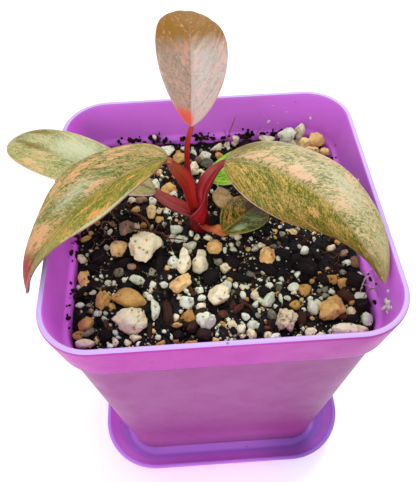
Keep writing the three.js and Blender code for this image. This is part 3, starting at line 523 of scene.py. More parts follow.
BACK = np.array([math.sin(AZIMUTH) * math.cos(ELEVATION),
                 -math.cos(AZIMUTH) * math.cos(ELEVATION), math.sin(ELEVATION)])
VIEW = axes(BACK, ROLL)
EYE = AIM + DISTANCE * BACK


# Meshes


def skin(rings):
    """Points and quads over a row of rings. They face out where the rings turn to the left."""
    rows, count = rings.shape[:2]
    row = np.arange(rows - 1)[:, None] * count
    here = np.arange(count)[None]
    after = (here + 1) % count
    quads = np.stack([row + here, row + after, row + after + count, row + here + count], -1)
    return rings.reshape(-1, 3), quads.reshape(-1, 4)


def caps(points, rows, count):
    """Adds a middle point at both ends of a row of rings, and the triangles to it."""
    first = len(points)
    points = np.vstack([points, points[:count].mean(0), points[(rows - 1) * count : rows * count].mean(0)])
    here = np.arange(count)
    after = (here + 1) % count
    last = (rows - 1) * count
    start = np.stack([np.full(count, first), after, here], -1)
    end = np.stack([np.full(count, first + 1), last + here, last + after], -1)
    return points, np.vstack([start, end])


def make_piece(name, points, quads, tris, materials, values=None, faces=None, body="root"):
    """A smooth mesh object from arrays. values are numbers kept at its points."""
    quads = np.asarray(quads, np.int32).reshape(-1, 4)
    tris = np.asarray(tris, np.int32).reshape(-1, 3)
    mesh = bpy.data.meshes.new(name)
    mesh.vertices.add(len(points))
    mesh.vertices.foreach_set("co", (np.asarray(points) * MM).astype(np.float32).ravel())
    mesh.loops.add(quads.size + tris.size)
    mesh.loops.foreach_set("vertex_index", np.concatenate([quads.ravel(), tris.ravel()]))
    starts = np.concatenate([np.arange(len(quads)) * 4, quads.size + np.arange(len(tris)) * 3])
    mesh.polygons.add(len(starts))
    mesh.polygons.foreach_set("loop_start", starts.astype(np.int32))
    mesh.polygons.foreach_set("use_smooth", np.ones(len(starts), bool))
    for material in materials:
        mesh.materials.append(material)
    if faces is not None:
        mesh.polygons.foreach_set("material_index", np.asarray(faces, np.int32))
    mesh.update(calc_edges=True)
    for key, value in (values or {}).items():
        value = np.asarray(value, np.float32)
        vector = value.ndim == 2
        attribute = mesh.attributes.new(key, "FLOAT_VECTOR" if vector else "FLOAT", "POINT")
        attribute.data.foreach_set("vector" if vector else "value", value.ravel())
    mesh.validate()
    piece = bpy.data.objects.new(name, mesh)
    bpy.context.scene.collection.objects.link(piece)
    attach(piece, body)
    return piece


def rounded(profile, reach, steps=4):
    """The same profile with each of its corners rounded off."""
    profile = np.array(profile, float)
    made = [profile[0]]
    for before, corner, after in zip(profile, profile[1:], profile[2:]):
        ways = []
        for other in (before, after):
            span = np.linalg.norm((other - corner)[[0, 2]])
            ways.append(corner + (other - corner) * min(reach / span, 0.42))
        for i in range(steps + 1):
            t = i / steps
            made.append(ways[0] * (1 - t) ** 2 + corner * 2 * t * (1 - t) + ways[1] * t * t)
    made.append(profile[-1])
    return np.array(made)


def filled(profile, longest):
    """The same profile with more levels on its long stretches."""
    made = [profile[0]]
    for start, end in zip(profile, profile[1:]):
        count = max(1, math.ceil(np.linalg.norm((end - start)[[0, 2]]) / longest))
        made += [start + (end - start) * i / count for i in range(1, count + 1)]
    return np.array(made)


def square_ring(half, corner, height, arc=16, side=12):
    """A square with round corners, lying flat, turning to the left."""
    angle = np.linspace(0, math.pi / 2, arc + 1)
    ring = []
    for turn in range(4):
        start = turn * math.pi / 2
        reach = (half - corner) * math.sqrt(2)
        middle = reach * np.array([math.cos(start + math.pi / 4), math.sin(start + math.pi / 4)])
        ring.append(middle + corner * np.stack([np.cos(start + angle), np.sin(start + angle)], -1))
    points = []
    for turn in range(4):
        points.append(ring[turn])
        start, end = ring[turn][-1], ring[(turn + 1) % 4][0]
        share = np.arange(1, side)[:, None] / side
        points.append(start + (end - start) * share)
    flat = np.vstack(points)
    return np.column_stack([flat, np.full(len(flat), height)])


def smooth_path(points, count):
    """Points along a smooth curve through the given ones, and the directions there."""
    points = np.array(points, float)
    ends = np.vstack([2 * points[0] - points[1], points, 2 * points[-1] - points[-2]])
    t = np.linspace(0, len(points) - 1 - 1e-9, count)
    i = t.astype(int)
    f = (t - i)[:, None]
    a, b, c, d = (ends[i + k] for k in range(4))
    path = 0.5 * (2 * b + (c - a) * f + (2 * a - 5 * b + 4 * c - d) * f**2
                  + (3 * b - a - 3 * c + d) * f**3)
    return path, unit(np.gradient(path, axis=0))


def ball(level):
    """A ball of even triangles, of radius 1."""
    golden = (1 + math.sqrt(5)) / 2
    points = []
    for a in (-1, 1):
        for b in (-golden, golden):
            points += [(0, a, b), (a, b, 0), (b, 0, a)]
    points = unit(np.array(points, float))
    edge = np.linalg.norm(points[:, None] - points[None], axis=-1)
    near = (edge > 0.1) & (edge < 1.2)
    tris = []
    for i in range(12):
        for j in range(i + 1, 12):
            for k in range(j + 1, 12):
                if near[i, j] and near[j, k] and near[i, k]:
                    a, b, c = points[[i, j, k]]
                    flip = np.dot(np.cross(b - a, c - a), a) < 0
                    tris.append((i, k, j) if flip else (i, j, k))
    tris = np.array(tris)
    for _ in range(level):
        pairs = np.sort(tris[:, [0, 1, 1, 2, 2, 0]].reshape(-1, 2), axis=1)
        edges, where = np.unique(pairs, axis=0, return_inverse=True)
        middle = where.reshape(-1, 3) + len(points)
        points = np.vstack([points, unit(points[edges].mean(1))])
        a, b, c = tris.T
        ab, bc, ca = middle.T
        tris = np.vstack([
            np.stack([a, ab, ca], -1), np.stack([ab, b, bc], -1),
            np.stack([ca, bc, c], -1), np.stack([ab, bc, ca], -1),
        ])
    return points, tris


BALLS = [ball(level) for level in range(5)]


# Materials


def joined(operation):
    """The arithmetic of a value that a node gives, as one more node."""

    def method(value, other):
        build = value.shades.math if value.socket.type == "VALUE" else value.shades.vector
        return build(operation, value, other)

    return method


class Value:
    """What a node gives, a number, a vector or a colour. Arithmetic on it adds nodes."""

    def __init__(self, shades, socket):
        self.shades = shades
        self.socket = socket

    __add__ = joined("ADD")
    __sub__ = joined("SUBTRACT")
    __mul__ = joined("MULTIPLY")
    __gt__ = joined("GREATER_THAN")


class Shades:
    """Builds a material from short calls. An input is a Value, a plain number or a colour."""

    def __init__(self, name):
        self.material = bpy.data.materials.new(name)
        self.material.use_nodes = True
        self.tree = self.material.node_tree
        self.tree.nodes.clear()
        output = self.node("ShaderNodeOutputMaterial", {})
        self.shader = self.node("ShaderNodeBsdfPrincipled", {})
        self.tree.links.new(self.shader.outputs[0], output.inputs["Surface"])

    def put(self, socket, value):
        if isinstance(value, Value):
            self.tree.links.new(value.socket, socket)
            return
        if isinstance(value, str):
            value = linear(value)
        if socket.type == "RGBA":
            value = (*value[:3], 1)
        elif socket.type == "VECTOR" and isinstance(value, (int, float)):
            value = (value,) * 3
        socket.default_value = value

    def node(self, kind, inputs, **settings):
        """A node with its inputs by their names or numbers."""
        node = self.tree.nodes.new(kind)
        for key, value in settings.items():
            setattr(node, key, value)
        for key, value in inputs.items():
            self.put(node.inputs[key], value)
        return node

    def value(self, kind, inputs, output=0, **settings):
        return Value(self, self.node(kind, inputs, **settings).outputs[output])

    def surface(self, **inputs):
        for key, value in inputs.items():
            self.put(self.shader.inputs[key.replace("_", " ")], value)
        return self.material

    def math(self, operation, *values, clamp=False):
        inputs = dict(enumerate(values))
        return self.value("ShaderNodeMath", inputs, operation=operation, use_clamp=clamp)

    def vector(self, operation, *values):
        return self.value("ShaderNodeVectorMath", dict(enumerate(values)), operation=operation)

    def between(self, value, low, high, start=0.0, end=1.0):
        """A smooth step: start below low, end above high."""
        inputs = dict(enumerate((value, low, high, start, end)))
        return self.value("ShaderNodeMapRange", inputs, interpolation_type="SMOOTHSTEP")

    def mix(self, share, first, second, blend="MIX"):
        inputs = {0: share, 6: first, 7: second}
        return self.value("ShaderNodeMix", inputs, 2, data_type="RGBA", blend_type=blend)

    def split(self, value):
        return [Value(self, output) for output in self.node("ShaderNodeSeparateXYZ", {0: value}).outputs]

    def number(self, name):
        return self.value("ShaderNodeAttribute", {}, "Fac", attribute_name=name)

    def numbers(self, name):
        return self.value("ShaderNodeAttribute", {}, "Vector", attribute_name=name)

    def place(self):
        """The point on the object, in millimetres."""
        return self.value("ShaderNodeTexCoord", {}, "Object") * (1 / MM)

    def noise(self, where, size, detail=2.0, rough=0.5, bend=0.0, output=0):
        inputs = {"Vector": where, "Scale": 1 / size, "Detail": detail, "Roughness": rough,
                  "Distortion": bend}
        return self.value("ShaderNodeTexNoise", inputs, output)

    def hues(self, where, size):
        """Three noises at once."""
        return self.noise(where, size, output=1)

    def cells(self, where, size, measure="EUCLIDEAN"):
        """How far the middle of the nearest cell is, and two random numbers of that cell."""
        inputs = {"Vector": where, "Scale": 1 / size}
        node = self.node("ShaderNodeTexVoronoi", inputs, distance=measure)
        first, second, _ = self.split(Value(self, node.outputs[1]))
        return Value(self, node.outputs[0]), first, second

    def ramp(self, share, *stops):
        node = self.node("ShaderNodeValToRGB", {0: share})
        elements = node.color_ramp.elements
        while len(elements) < len(stops):
            elements.new(0.5)
        for element, (position, colour) in zip(elements, stops):
            element.position = position
            element.color = (*linear(colour), 1)
        return Value(self, node.outputs[0])

    def bump(self, height, depth, under=None):
        """depth is in millimetres for a height of 1."""
        inputs = {"Height": height, "Distance": depth * MM, "Strength": 1.0}
        if under is not None:
            inputs["Normal"] = under
        return self.value("ShaderNodeBump", inputs)


def plastic(name, body, glow, lip, inside, shade, foot, right):
    """Satin plastic. zone is 0 outside, 1 on the lip and 2 inside.

    shade are the heights between which body turns to glow, a painted glow above the soil as of light
    through the plastic. foot is the colour low down, on the pot a painted light against the saucer's
    shade, and lip is a painted highlight on the lip. inside holds its two colours and the heights
    between them, the lower colour darker as painted shade, right the painted shade of the right half,
    a colour to multiply with, and how much of it is left inside.
    """
    m = Shades(name)
    where = m.place()
    x, y, height = m.split(where)
    zone = m.number("zone")
    broad = m.noise(where, 26, 3, 0.6)
    cloudy = m.noise(where, 7, 4, 0.55, 0.6)
    fine = m.noise(where, 0.5, 3, 0.7)
    wavy = (m.noise(where, 9, 2) - 0.5) * 2.4
    # Painted light: foot, on the pot lighter than body, brightens it low down against the saucer's shade
    colour = m.mix(m.between(height, 5.0, 22.0), foot, body)
    # Painted light: above the shade heights, with a wavy edge, body turns to a painted glow as of light
    # through the plastic
    colour = m.mix(m.between(height + wavy, *shade), colour, glow)
    # Inside, painted light and shade: darker low down, a painted glow on the left wall and painted shade on
    # the front wall
    low, high, heights = inside
    deep = m.mix(m.between(height, *heights), low, high)
    deep = m.mix(m.between(x, -33.0, -29.0, 0.5, 0.0), deep, "F060F4")
    front = m.between(y, -32.5, -29.5, 0.45, 0.0)
    deep = m.mix(front, deep, m.mix(0.75, deep, "702C84", "MULTIPLY"))
    colour = m.mix(m.between(zone, 1.3, 1.8), colour, deep)
    smudge = m.mix(0.5, colour, body, "MULTIPLY")
    colour = m.mix(m.between(cloudy, 0.45, 0.8, 0.0, 0.12), colour, smudge)
    colour = m.mix(m.between(broad, 0.4, 0.75, 0.0, 0.05), colour, m.mix(0.35, colour, "F0D8FF"))
    # Painted highlight: the lip colour lightens the top of the rim
    off_lip = m.math("ABSOLUTE", zone - 1.0) * 2.2
    colour = m.mix(m.math("SUBTRACT", 1.0, off_lip, clamp=True), colour, lip)
    # Painted shade: the right half is multiplied with the tint colour, on the inside only in part
    tint, left_inside = right
    painted_right_shade = m.between(x, 4.0, 24.0) * m.between(zone, 0.4, 0.9, 1.0, left_inside)
    colour = m.mix(painted_right_shade, colour, m.mix(1.0, colour, tint, "MULTIPLY"))
    away, pick, _ = m.cells(where, 2.3)
    spot = m.between(away + fine * 0.12, 0.15, 0.18, 1.0, 0.0) * (pick > 0.93)
    colour = m.mix(spot * 0.55, colour, "3A2030")
    scratch = m.noise(where * (0.25, 0.25, 3.0), 1.1, 3, 0.7)
    rough = m.between(cloudy, 0.3, 0.8, 0.36, 0.48) + spot * 0.4
    rough = rough + m.between(scratch, 0.55, 0.75, 0.0, 0.08)
    relief = m.bump(spot, 0.05, m.bump(fine * 0.3 + broad, 0.03))
    return m.surface(Base_Color=colour, Roughness=rough, Normal=relief, IOR=1.49, Specular_IOR_Level=0.28,
                     Subsurface_Weight=0.12, Subsurface_Radius=(1.0, 0.5, 1.0), Subsurface_Scale=0.0012)


def potting_mix():
    m = Shades("potting_mix")
    where = m.place()
    crumb, _, pick = m.cells(where, 1.1)
    mottle = m.noise(where, 1.6, 5, 0.65, 0.4)
    dust = m.noise(where, 0.35, 3, 0.7)
    colour = m.ramp(mottle, (0.3, "020203"), (0.5, "080606"), (0.62, "16100C"), (0.78, "35251A"))
    colour = m.mix(m.between(pick, 0.80, 0.9, 0.0, 0.6), colour, "2A160D")
    colour = m.mix(m.between(dust, 0.64, 0.74, 0.0, 0.4), colour, "857763")
    relief = m.bump(crumb, -0.5, m.bump(m.noise(where, 0.7, 5, 0.75), 0.6))
    rough = m.between(mottle, 0.3, 0.7, 0.5, 0.9)
    return m.surface(Base_Color=colour, Roughness=rough, Normal=relief, Specular_IOR_Level=0.3)


def gravel(name, stops, pits, stain, pit_colour="3A2A20"):
    """A stone or grain whose colour follows its own tone, with mottling, stains and pits."""
    m = Shades(name)
    where = m.place()
    mottle = m.noise(where, 1.5, 4, 0.6, 0.5)
    grain = m.noise(where, 0.22, 3, 0.75)
    colour = m.ramp(m.number("tone") * 0.5 + mottle * 0.5, *stops)
    stained = m.between(m.noise(where, 2.4, 3, 0.6, 0.8), 0.5, 0.66, 0.0, 0.45)
    colour = m.mix(stained, colour, stain)
    colour = m.mix(m.between(grain, 0.55, 0.8, 0.0, 0.3), colour, "FFFBEE")
    # Painted shade: the creases between the lumps are darker
    creased = m.between(m.number("crease") + grain * 0.5, 0.75, 1.3, 0.0, 0.7)
    colour = m.mix(creased, colour, m.mix(0.8, colour, stain, "MULTIPLY"))
    bent = where + (m.hues(where, 0.4) - 0.5) * 1.1
    away, pick, _ = m.cells(bent, 0.8)
    ragged = away + (mottle - 0.5) * 1.6
    pit = m.between(ragged, 0.18, 0.34, 1.0, 0.0) * (pick > 1 - 0.38 * pits)
    colour = m.mix(pit * 0.65, colour, pit_colour)
    dirt = m.between(m.noise(where, 1.1, 5, 0.8), 0.6, 0.66)
    colour = m.mix(dirt * (0.5 * pits + 0.1), colour, pit_colour)
    relief = m.bump(pit, -0.2, m.bump(m.noise(where, 0.6, 4, 0.7) + grain * 0.4, 0.5))
    rough = m.between(mottle, 0.3, 0.7, 0.75, 0.95)
    return m.surface(Base_Color=colour, Roughness=rough, Normal=relief, Specular_IOR_Level=0.3)


def bark(name, stops):
    m = Shades(name)
    where = m.place()
    grain = m.numbers("grain")
    fibre = m.noise(grain * (1.0, 0.14, 1.0), 0.3, 4, 0.7)
    split = m.noise(grain * (1.0, 0.1, 1.0), 0.45, 3, 0.6)
    glint = m.noise(where, 0.12, 2, 0.6)
    colour = m.ramp(m.number("tone") * 0.7 + fibre * 0.4, *stops)
    colour = m.mix(m.between(m.noise(where, 0.9, 4, 0.7), 0.5, 0.7, 0.0, 0.6), colour, "060405")
    colour = m.mix(m.between(split, 0.56, 0.7, 0.0, 0.5), colour, "5C4638")
    colour = m.mix(m.between(glint, 0.72, 0.8, 0.0, 0.35), colour, "A99C90")
    relief = m.bump(m.noise(where, 0.35, 3, 0.7), 0.25, m.bump(fibre, 0.5))
    rough = m.between(fibre, 0.3, 0.7, 0.55, 0.9)
    return m.surface(Base_Color=colour, Roughness=rough, Normal=relief, Specular_IOR_Level=0.2)


def stalk_skin(name, deep, bright, inner, ripe=0.6):
    """Smooth plant skin. stalk holds the share along it, across it, and the channel.

    ripe is where along the stalk the colour of the channel takes over.
    """
    m = Shades(name)
    where = m.place()
    stalk = m.numbers("stalk")
    along, across, channel = m.split(stalk)
    stripe = m.noise(stalk * (1.6, 5.0, 1.0), 1.0, 4, 0.6, 0.2)
    blotch = m.noise(where, 2.2, 3, 0.6)
    colour = m.mix(m.between(stripe, 0.36, 0.66), deep, bright)
    colour = m.mix(m.between(blotch, 0.5, 0.75, 0.0, 0.5), colour, deep)
    upper = channel * m.between(along, ripe - 0.4, ripe + 0.1, 0.1, 0.8)
    upper = upper * m.between(stripe, 0.3, 0.55, 0.5, 1.0)
    colour = m.mix(upper, colour, inner)
    near = m.between(along + stripe * 0.3, ripe, ripe + 0.35)
    colour = m.mix(near * 0.75, colour, inner)
    # Painted highlight: a pink line along the edges of the channel
    rim = m.between(m.math("ABSOLUTE", across), 0.95, 1.0)
    colour = m.mix(rim * 0.4, colour, "B0606A")
    away, pick, _ = m.cells(where, 1.1)
    spot = m.between(away, 0.06, 0.1, 1.0, 0.0) * (pick > 0.75)
    colour = m.mix(spot * 0.7, colour, "E0B8A8")
    relief = m.bump(m.noise(where, 0.3, 3, 0.6), 0.02, m.bump(stripe, 0.1))
    rough = m.between(stripe, 0.3, 0.7, 0.32, 0.46)
    return m.surface(Base_Color=colour, Roughness=rough, Normal=relief, Specular_IOR_Level=0.3)


def leaf_skin(name, look):
    """A blade in small blocks along its veins, from green over tan to salmon."""
    m = Shades(name)
    where = m.place()
    along, across, under = m.split(m.numbers("blade"))
    from_rib, from_margin, blush = m.split(m.numbers("reach"))
    # The second of these numbers is the strength of the painted sheen
    salmon, pale, dark = m.split(m.numbers("tint"))
    veins = m.numbers("vein")
    streak = m.noise(veins * (1.0, 0.14, 1.0), 0.8, 4, 0.65, 0.3)
    broad = m.noise(veins * (1.0, 0.4, 1.0), 3.2, 2, 0.5)

    def blocks(width, stretch):
        """A number from 0 to 1 for each block of about that width."""
        bent = (m.hues(veins, 1.5 * width) - 0.5) * (1.6 * width)
        return m.cells(veins * (1.0, stretch, 1.0) + bent, width, "CHEBYCHEV")[1]

    fine = blocks(0.2, 0.5)
    coarse = blocks(0.55, 0.34)
    warm_left, warm_right = look["warmth"]
    level = fine * 0.40 + coarse * 0.13 + streak * 0.45 + broad * 0.5 - 0.24
    level = level + m.between(across, -0.07, 0.07, warm_right, warm_left)
    torn = (coarse - 0.5) * 0.3 + (streak - 0.5) * 1.1
    level = level + m.between(salmon + torn, 0.35, 0.6) * 0.22 - dark * 0.12
    places = (0.26, 0.42, 0.54, 0.66, 0.82)
    right, left = (m.ramp(level, *zip(places, look[half])) for half in ("right", "left"))
    colour = m.mix(m.between(across, -0.07, 0.07), right, left)
    # Painted sheen: the pale patches and the pale colour stand for a reflection of the sky
    sheen = m.between(pale + coarse * 0.35, 0.25, 1.3)
    colour = m.mix(sheen * 0.75, colour, look["pale"])
    dusky = m.between(dark + (fine - 0.6) * 0.3 + (streak - 0.5) * 1.3, 0.1, 1.1)
    colour = m.mix(dusky * 0.92, colour, look["dark"])
    specks = m.between(fine * 0.5 + coarse * 0.5, 0.74, 0.82, 0.0, 0.5) * dusky
    colour = m.mix(specks, colour, look["left"][4])
    rib = m.between(from_rib, 0.08, 0.32, 1.0, 0.0) * m.between(along, 0.05, 0.7, 0.6, 0.05)
    colour = m.mix(rib, colour, look["vein"])
    colour = m.mix(m.between(blush + streak * 0.5, 0.6, 1.2, 0.0, 0.9), colour, "CC4A32")
    colour = m.mix(m.between(from_margin, 0.08, 0.3, 0.85, 0.0), colour, look["margin"])
    colour = m.mix(under * 0.85, colour, look["under"])
    lines = m.math("SINE", (m.split(veins)[0] + broad * 0.3) * (2 * math.pi / 0.75))
    relief = m.bump(m.noise(where, 0.22, 3, 0.7), 0.03, m.bump(lines, 0.010))
    relief = m.bump(streak, 0.04, relief)
    rough = m.between(streak, 0.3, 0.7, 0.42, 0.56)
    return m.surface(Base_Color=colour, Roughness=rough, Normal=relief,
                     Specular_IOR_Level=look.get("gloss", 0.16))


# Both plastics carry painted light and shade: glow colours, the pot's lighter foot, lip highlights, inside
# colours darker low down and tints that shade the right half
POT_PLASTIC = plastic("pot_plastic", "833175", "9F2590", "B294CC", ("C862D6", "D272E0", (60, 72)),
                      (68.2, 69.2), "9E5092", ("E6AEE2", 0.0))
SAUCER_PLASTIC = plastic("saucer_plastic", "CE62F8", "DC70FF", "B878D8",
                         ("CA84F0", "F494FF", (2.2, 5.2)), (1.0, 5.0), "CE62F8", ("B8BCCB", 1.0))
POTTING_MIX = potting_mix()
ORANGE = ((0.2, "C2863C"), (0.45, "EEBE6E"), (0.75, "FCE2A2"))
# Each finish: its name, its ramp of colours, how pitted it is, its stain and its pits' colour
FINISHES = {
    "cream": ("cream_stone", ((0.2, "DCCB9C"), (0.45, "F2E8BE"), (0.75, "FFFBDC")), 0.6, "F0CE94"),
    "tan": ("tan_stone", ((0.2, "9C6E2E"), (0.5, "D09E4C"), (0.8, "EEC87A")), 0.3, "B27A48"),
    "speckled": ("speckled_stone", ((0.2, "B4A880"), (0.6, "E4D8AC"), (0.9, "F8F2CC")), 1.3, "E6BC90",
                 "17110F"),
    "orange": ("orange_stone", ORANGE, 0.5, "DC9A50"),
    "white": ("white_stone", ((0.15, "B8BEA2"), (0.45, "E8EED0"), (0.75, "FCFFEA")), 0.45, "DCE2BC",
              "504840"),
    "light": ("light_tan_stone", ORANGE, 0.5, "DC9A50"),
    "brown": ("brown_stone", ((0.2, "5E432E"), (0.5, "9A7A5C"), (0.85, "CDB394")), 0.2, "84583A"),
    "pebble": ("smooth_pebble", ((0.2, "DA9C48"), (0.45, "FFD680"), (0.8, "FFECB4")), 0.0, "C07838"),
    "grey": ("grey_stone", ((0.2, "4E4C3E"), (0.5, "858268"), (0.85, "B8B598")), 0.5, "6E6A58", "24201C"),
}
STONE_SKINS = {finish: gravel(*look) for finish, look in FINISHES.items()}
STONE_SKINS["bark"] = bark("bark", ((0.15, "0A0708"), (0.45, "1B0F0B"), (0.8, "55301F"), (0.95, "8A563C")))
FIBRE = bark("root_fibre", ((0.2, "3A1C14"), (0.5, "66382A"), (0.85, "9A6A4E"), (1.0, "E0C8BC")))
CRUMBS = bark("peat_crumbs", ((0.2, "030304"), (0.5, "0D0908"), (0.85, "38200F")))


# Pot and saucer


def square_piece(name, profile, reach, material, zones, capped):
    levels = filled(rounded(profile, reach), 3.0)
    rings = np.array([square_ring(*level) for level in levels])
    if not capped:
        rings = np.concatenate([rings, rings[:1]])
    points, quads = skin(rings)
    tris = np.zeros((0, 3), int)
    if capped:
        points, tris = caps(points, len(rings), rings.shape[1])
    else:
        count = rings.shape[1]
        points = points[:-count]
        quads = np.where(quads >= len(points), quads - len(points), quads)
    zone = np.interp(np.arange(len(levels)), *zones(levels))
    zone = np.repeat(zone, rings.shape[1])
    zone = np.concatenate([zone, [0, 2][: max(0, len(points) - len(zone))]])
    return make_piece(name, points, quads, tris, [material], {"zone": zone[: len(points)]})


def pot_zones(levels):
    top = levels[:, 2].max()
    high = np.flatnonzero(levels[:, 2] > top - 0.12)
    first, last = high[0], high[-1]
    return [0, first - 2, first, last, last + 3, len(levels)], [0, 0, 1, 1, 2, 2]


pot = square_piece("pot_shell", POT_PROFILE, 0.35, POT_PLASTIC, pot_zones, False)
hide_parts("pot")
saucer = square_piece("saucer_dish", SAUCER_PROFILE, 0.4, SAUCER_PLASTIC, pot_zones, True)
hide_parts("saucer")


# Potting mix


def level_at(x, y):
    """The mix's even height, as its solid has it."""
    broad = np.sin(0.21 * x + 1.3) * np.cos(0.17 * y - 0.4)
    fine = np.sin(0.83 * x - 0.5 * y) + np.sin(0.71 * y + 0.37 * x + 2)
    return SOIL_LEVEL + 0.55 * (0.6 * broad + 0.4 * fine)


def crumbly_at(x, y):
    """The mix's height with its crumbs and pits, hollow under the stones."""
    flat = np.column_stack([x, y, np.zeros(len(x))])
    crumbs = 0.9 * (0.5 - np.abs(fractal(flat, 2.4, 4, 3, 0.55)))
    pits = -1.0 * smooth_step(0.2, 0.8, noise(flat, 3.6, 9))
    height = level_at(x, y) - 0.45 + crumbs + pits + 0.4 * smooth_step(26, 31, y)
    for sx, sy, width, depth, tall, turn, *_ in STONES.values():
        angle = math.radians(turn)
        across = ((x - sx) * math.cos(angle) + (y - sy) * math.sin(angle)) / (width / 2 + 0.2)
        deep = ((y - sy) * math.cos(angle) - (x - sx) * math.sin(angle)) / (depth / 2 + 0.2)
        span = np.sqrt(np.maximum(0, 1 - across**2 - deep**2))
        under = SOIL_LEVEL + 0.2 * tall - (tall / 2 + 0.2) * span
        height = np.where(span > 0, np.minimum(height, under), height)
    return height


GRID_HALF = 31
GRID_FINE = 5
GRID = np.linspace(-GRID_HALF, GRID_HALF, 2 * GRID_HALF * GRID_FINE + 1)
GROUND = crumbly_at(*(axis.ravel() for axis in np.meshgrid(GRID, GRID))).reshape(len(GRID), -1)


def ground_at(x, y):
    """The same height for one place, from a grid with five lines to a millimetre."""
    edge = GRID_HALF - 0.01
    place = [(np.clip(value, -edge, edge) + GRID_HALF) * GRID_FINE for value in (y, x)]
    row, column = (int(value) for value in place)
    down, right = place[0] - row, place[1] - column
    near = GROUND[row : row + 2, column : column + 2]
    return float(np.array([1 - down, down]) @ near @ np.array([1 - right, right]))


def soil_piece():
    """Sides from the foot up to the edge, and a top of rings that close on its middle."""
    arc, side = 22, 86
    rings = []
    for share in (0.0, 0.35, 0.7, 0.95):
        half = SOIL_FOOT_HALF + (SOIL_HALF - SOIL_FOOT_HALF) * share
        corner = SOIL_FOOT_CORNER + 2.4 * share
        rings.append(square_ring(half, corner, SOIL_FOOT + 62.2 * share, arc, side))
    rim = square_ring(SOIL_HALF, SOIL_CORNER, 0, arc, side)
    for share in [1.0, 0.985, *np.linspace(0.97, 0.012, 100)]:
        ring = rim * share
        ring[:, 2] = crumbly_at(ring[:, 0], ring[:, 1])
        rings.append(ring)
    rings = np.array(rings)
    points, quads = skin(rings)
    points, tris = caps(points, len(rings), rings.shape[1])
    piece = make_piece("soil_surface", points, quads, tris, [POTTING_MIX])
    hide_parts("soil")


soil_piece()


# Stones and grains


def stone_form(points, random, angular, craggy, waist=0.0):
    """A worn stone in a box of 2, and how deep its creases are.

    It is a ball cut by soft random planes, with round lumps and finer ones on it. waist pulls
    it in behind its middle.
    """
    planes = unit(random.normal(size=(8 + int(6 * random.random()), 3)))
    reach = 0.75 + 0.3 * random.random(len(planes))
    facing = np.maximum(points @ planes.T, 0) / reach
    power = 4 + 14 * angular
    cut = np.minimum(np.maximum((facing**power).sum(1), 1e-12) ** (-1 / power), 1.5)
    form = points * (0.2 + 0.8 * cut)[:, None]
    high, low = form.max(0), form.min(0)
    form = (form - (high + low) / 2) / ((high - low) / 2)
    seed = int(random.integers(1 << 12))
    crease = np.zeros(len(points))
    if len(points) > 100:
        lumps = knobs(form + 0.1 * fractal(form, 0.5, 2, seed)[:, None], 0.62, seed)
        crease = 1 - lumps
        form = form * (1 + (0.05 + 0.27 * craggy) * (lumps - 0.5))[:, None]
    form = form * (1 + (0.02 + 0.08 * craggy) * fractal(form, 0.5, 4, seed, 0.65))[:, None]
    neck = waist * smooth_step(-0.2, 0.35, form[:, 1]) * (1.25 - 0.5 * form[:, 1])
    form[:, [0, 2]] *= (1 - neck)[:, None]
    return form / np.quantile(np.abs(form), 0.96, axis=0), crease


def turned(points, angle):
    c, s = math.cos(angle), math.sin(angle)
    x, y, z = points.T
    return np.column_stack([x * c - y * s, x * s + y * c, z])


WAISTS = {"paired_stone_left": 0.32, "paired_stone_right": 0.34, "middle_cream_stone": 0.12}


def stone_pieces():
    for index, (name, stone) in enumerate(STONES.items()):
        x, y, width, depth, tall, turn, angular, pitted, finish = stone
        half = np.array([width, depth, tall]) / 2
        random = np.random.default_rng(700 + index)
        if finish == "bark":
            points, tris = BALLS[4]
            form = chip_form(random, points, half * [1, 1, 0.5])
            crease, grain = np.zeros(len(points)), form
        else:
            points, tris = BALLS[4 if max(width, depth) > 3.9 else 3]
            form, crease = stone_form(points, random, angular, pitted, WAISTS.get(name, 0))
            form, grain = form * half, form
        form = turned(form, math.radians(turn)) + [x, y, SOIL_LEVEL + 0.2 * tall]
        tone = np.full(len(points), 0.45 + 0.4 * ((index * 0.618) % 1))
        values = {"tone": tone, "grain": grain, "crease": crease}
        piece = make_piece(name + "_form", form, (), tris, [STONE_SKINS[finish]], values)
        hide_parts(name)


def chip_form(random, points, half):
    """A split piece of bark: a rough box with ridges along its grain and ragged ends."""
    box = np.sign(points) * np.abs(points) ** 0.72
    box = box / np.abs(box).max(0)
    box += 0.16 * np.stack([noise(box, 0.8, k + int(10 * random.random())) for k in range(3)], -1)
    box[:, 0] *= 1 - random.uniform(0, 0.5) * (0.5 + 0.5 * box[:, 1])
    seed = int(random.integers(1 << 12))
    ends = 1 + 0.22 * noise(box * [1, 0.1, 1], 0.45, seed)
    box[:, 1] *= ends / 1.2
    grain = box * half
    split = noise(grain * [1, 0.1, 1], 0.5, seed + 1) + 0.6 * noise(grain * [1, 0.2, 1], 0.2, seed + 2)
    return grain * (1 + 0.17 * split)[:, None]


stone_pieces()


def seen_on_mix(px, py):
    """The x and y on the mix that show at a pixel of the photo, and the pixels to a millimetre."""
    right, up, back = VIEW
    ray = right * (px - PHOTO_WIDTH / 2) / FOCAL - up * (py - PHOTO_HEIGHT / 2) / FOCAL - back
    place = EYE + ray * (SOIL_LEVEL + 0.6 - EYE[2]) / ray[2]
    return place[0], place[1], FOCAL / ((EYE - place) @ back)


def gravel_places(finish):
    """x, y, width and depth of the smaller stones of that finish, clear of the pot's wall."""
    placed, *seen = GRAVEL[finish]
    stones = list(placed)
    for (left, top, scale), picks in zip(PARTS, seen):
        for px, py, width, depth in picks:
            x, y, pixels = seen_on_mix(left + px / scale, top + py / scale)
            x, y = np.clip(round(x, 1), -30.2, 30.2), min(round(y, 1), 30.3)
            stones.append((x, y, round(width / scale / pixels, 1), round(depth / scale / pixels, 1)))
    return stones


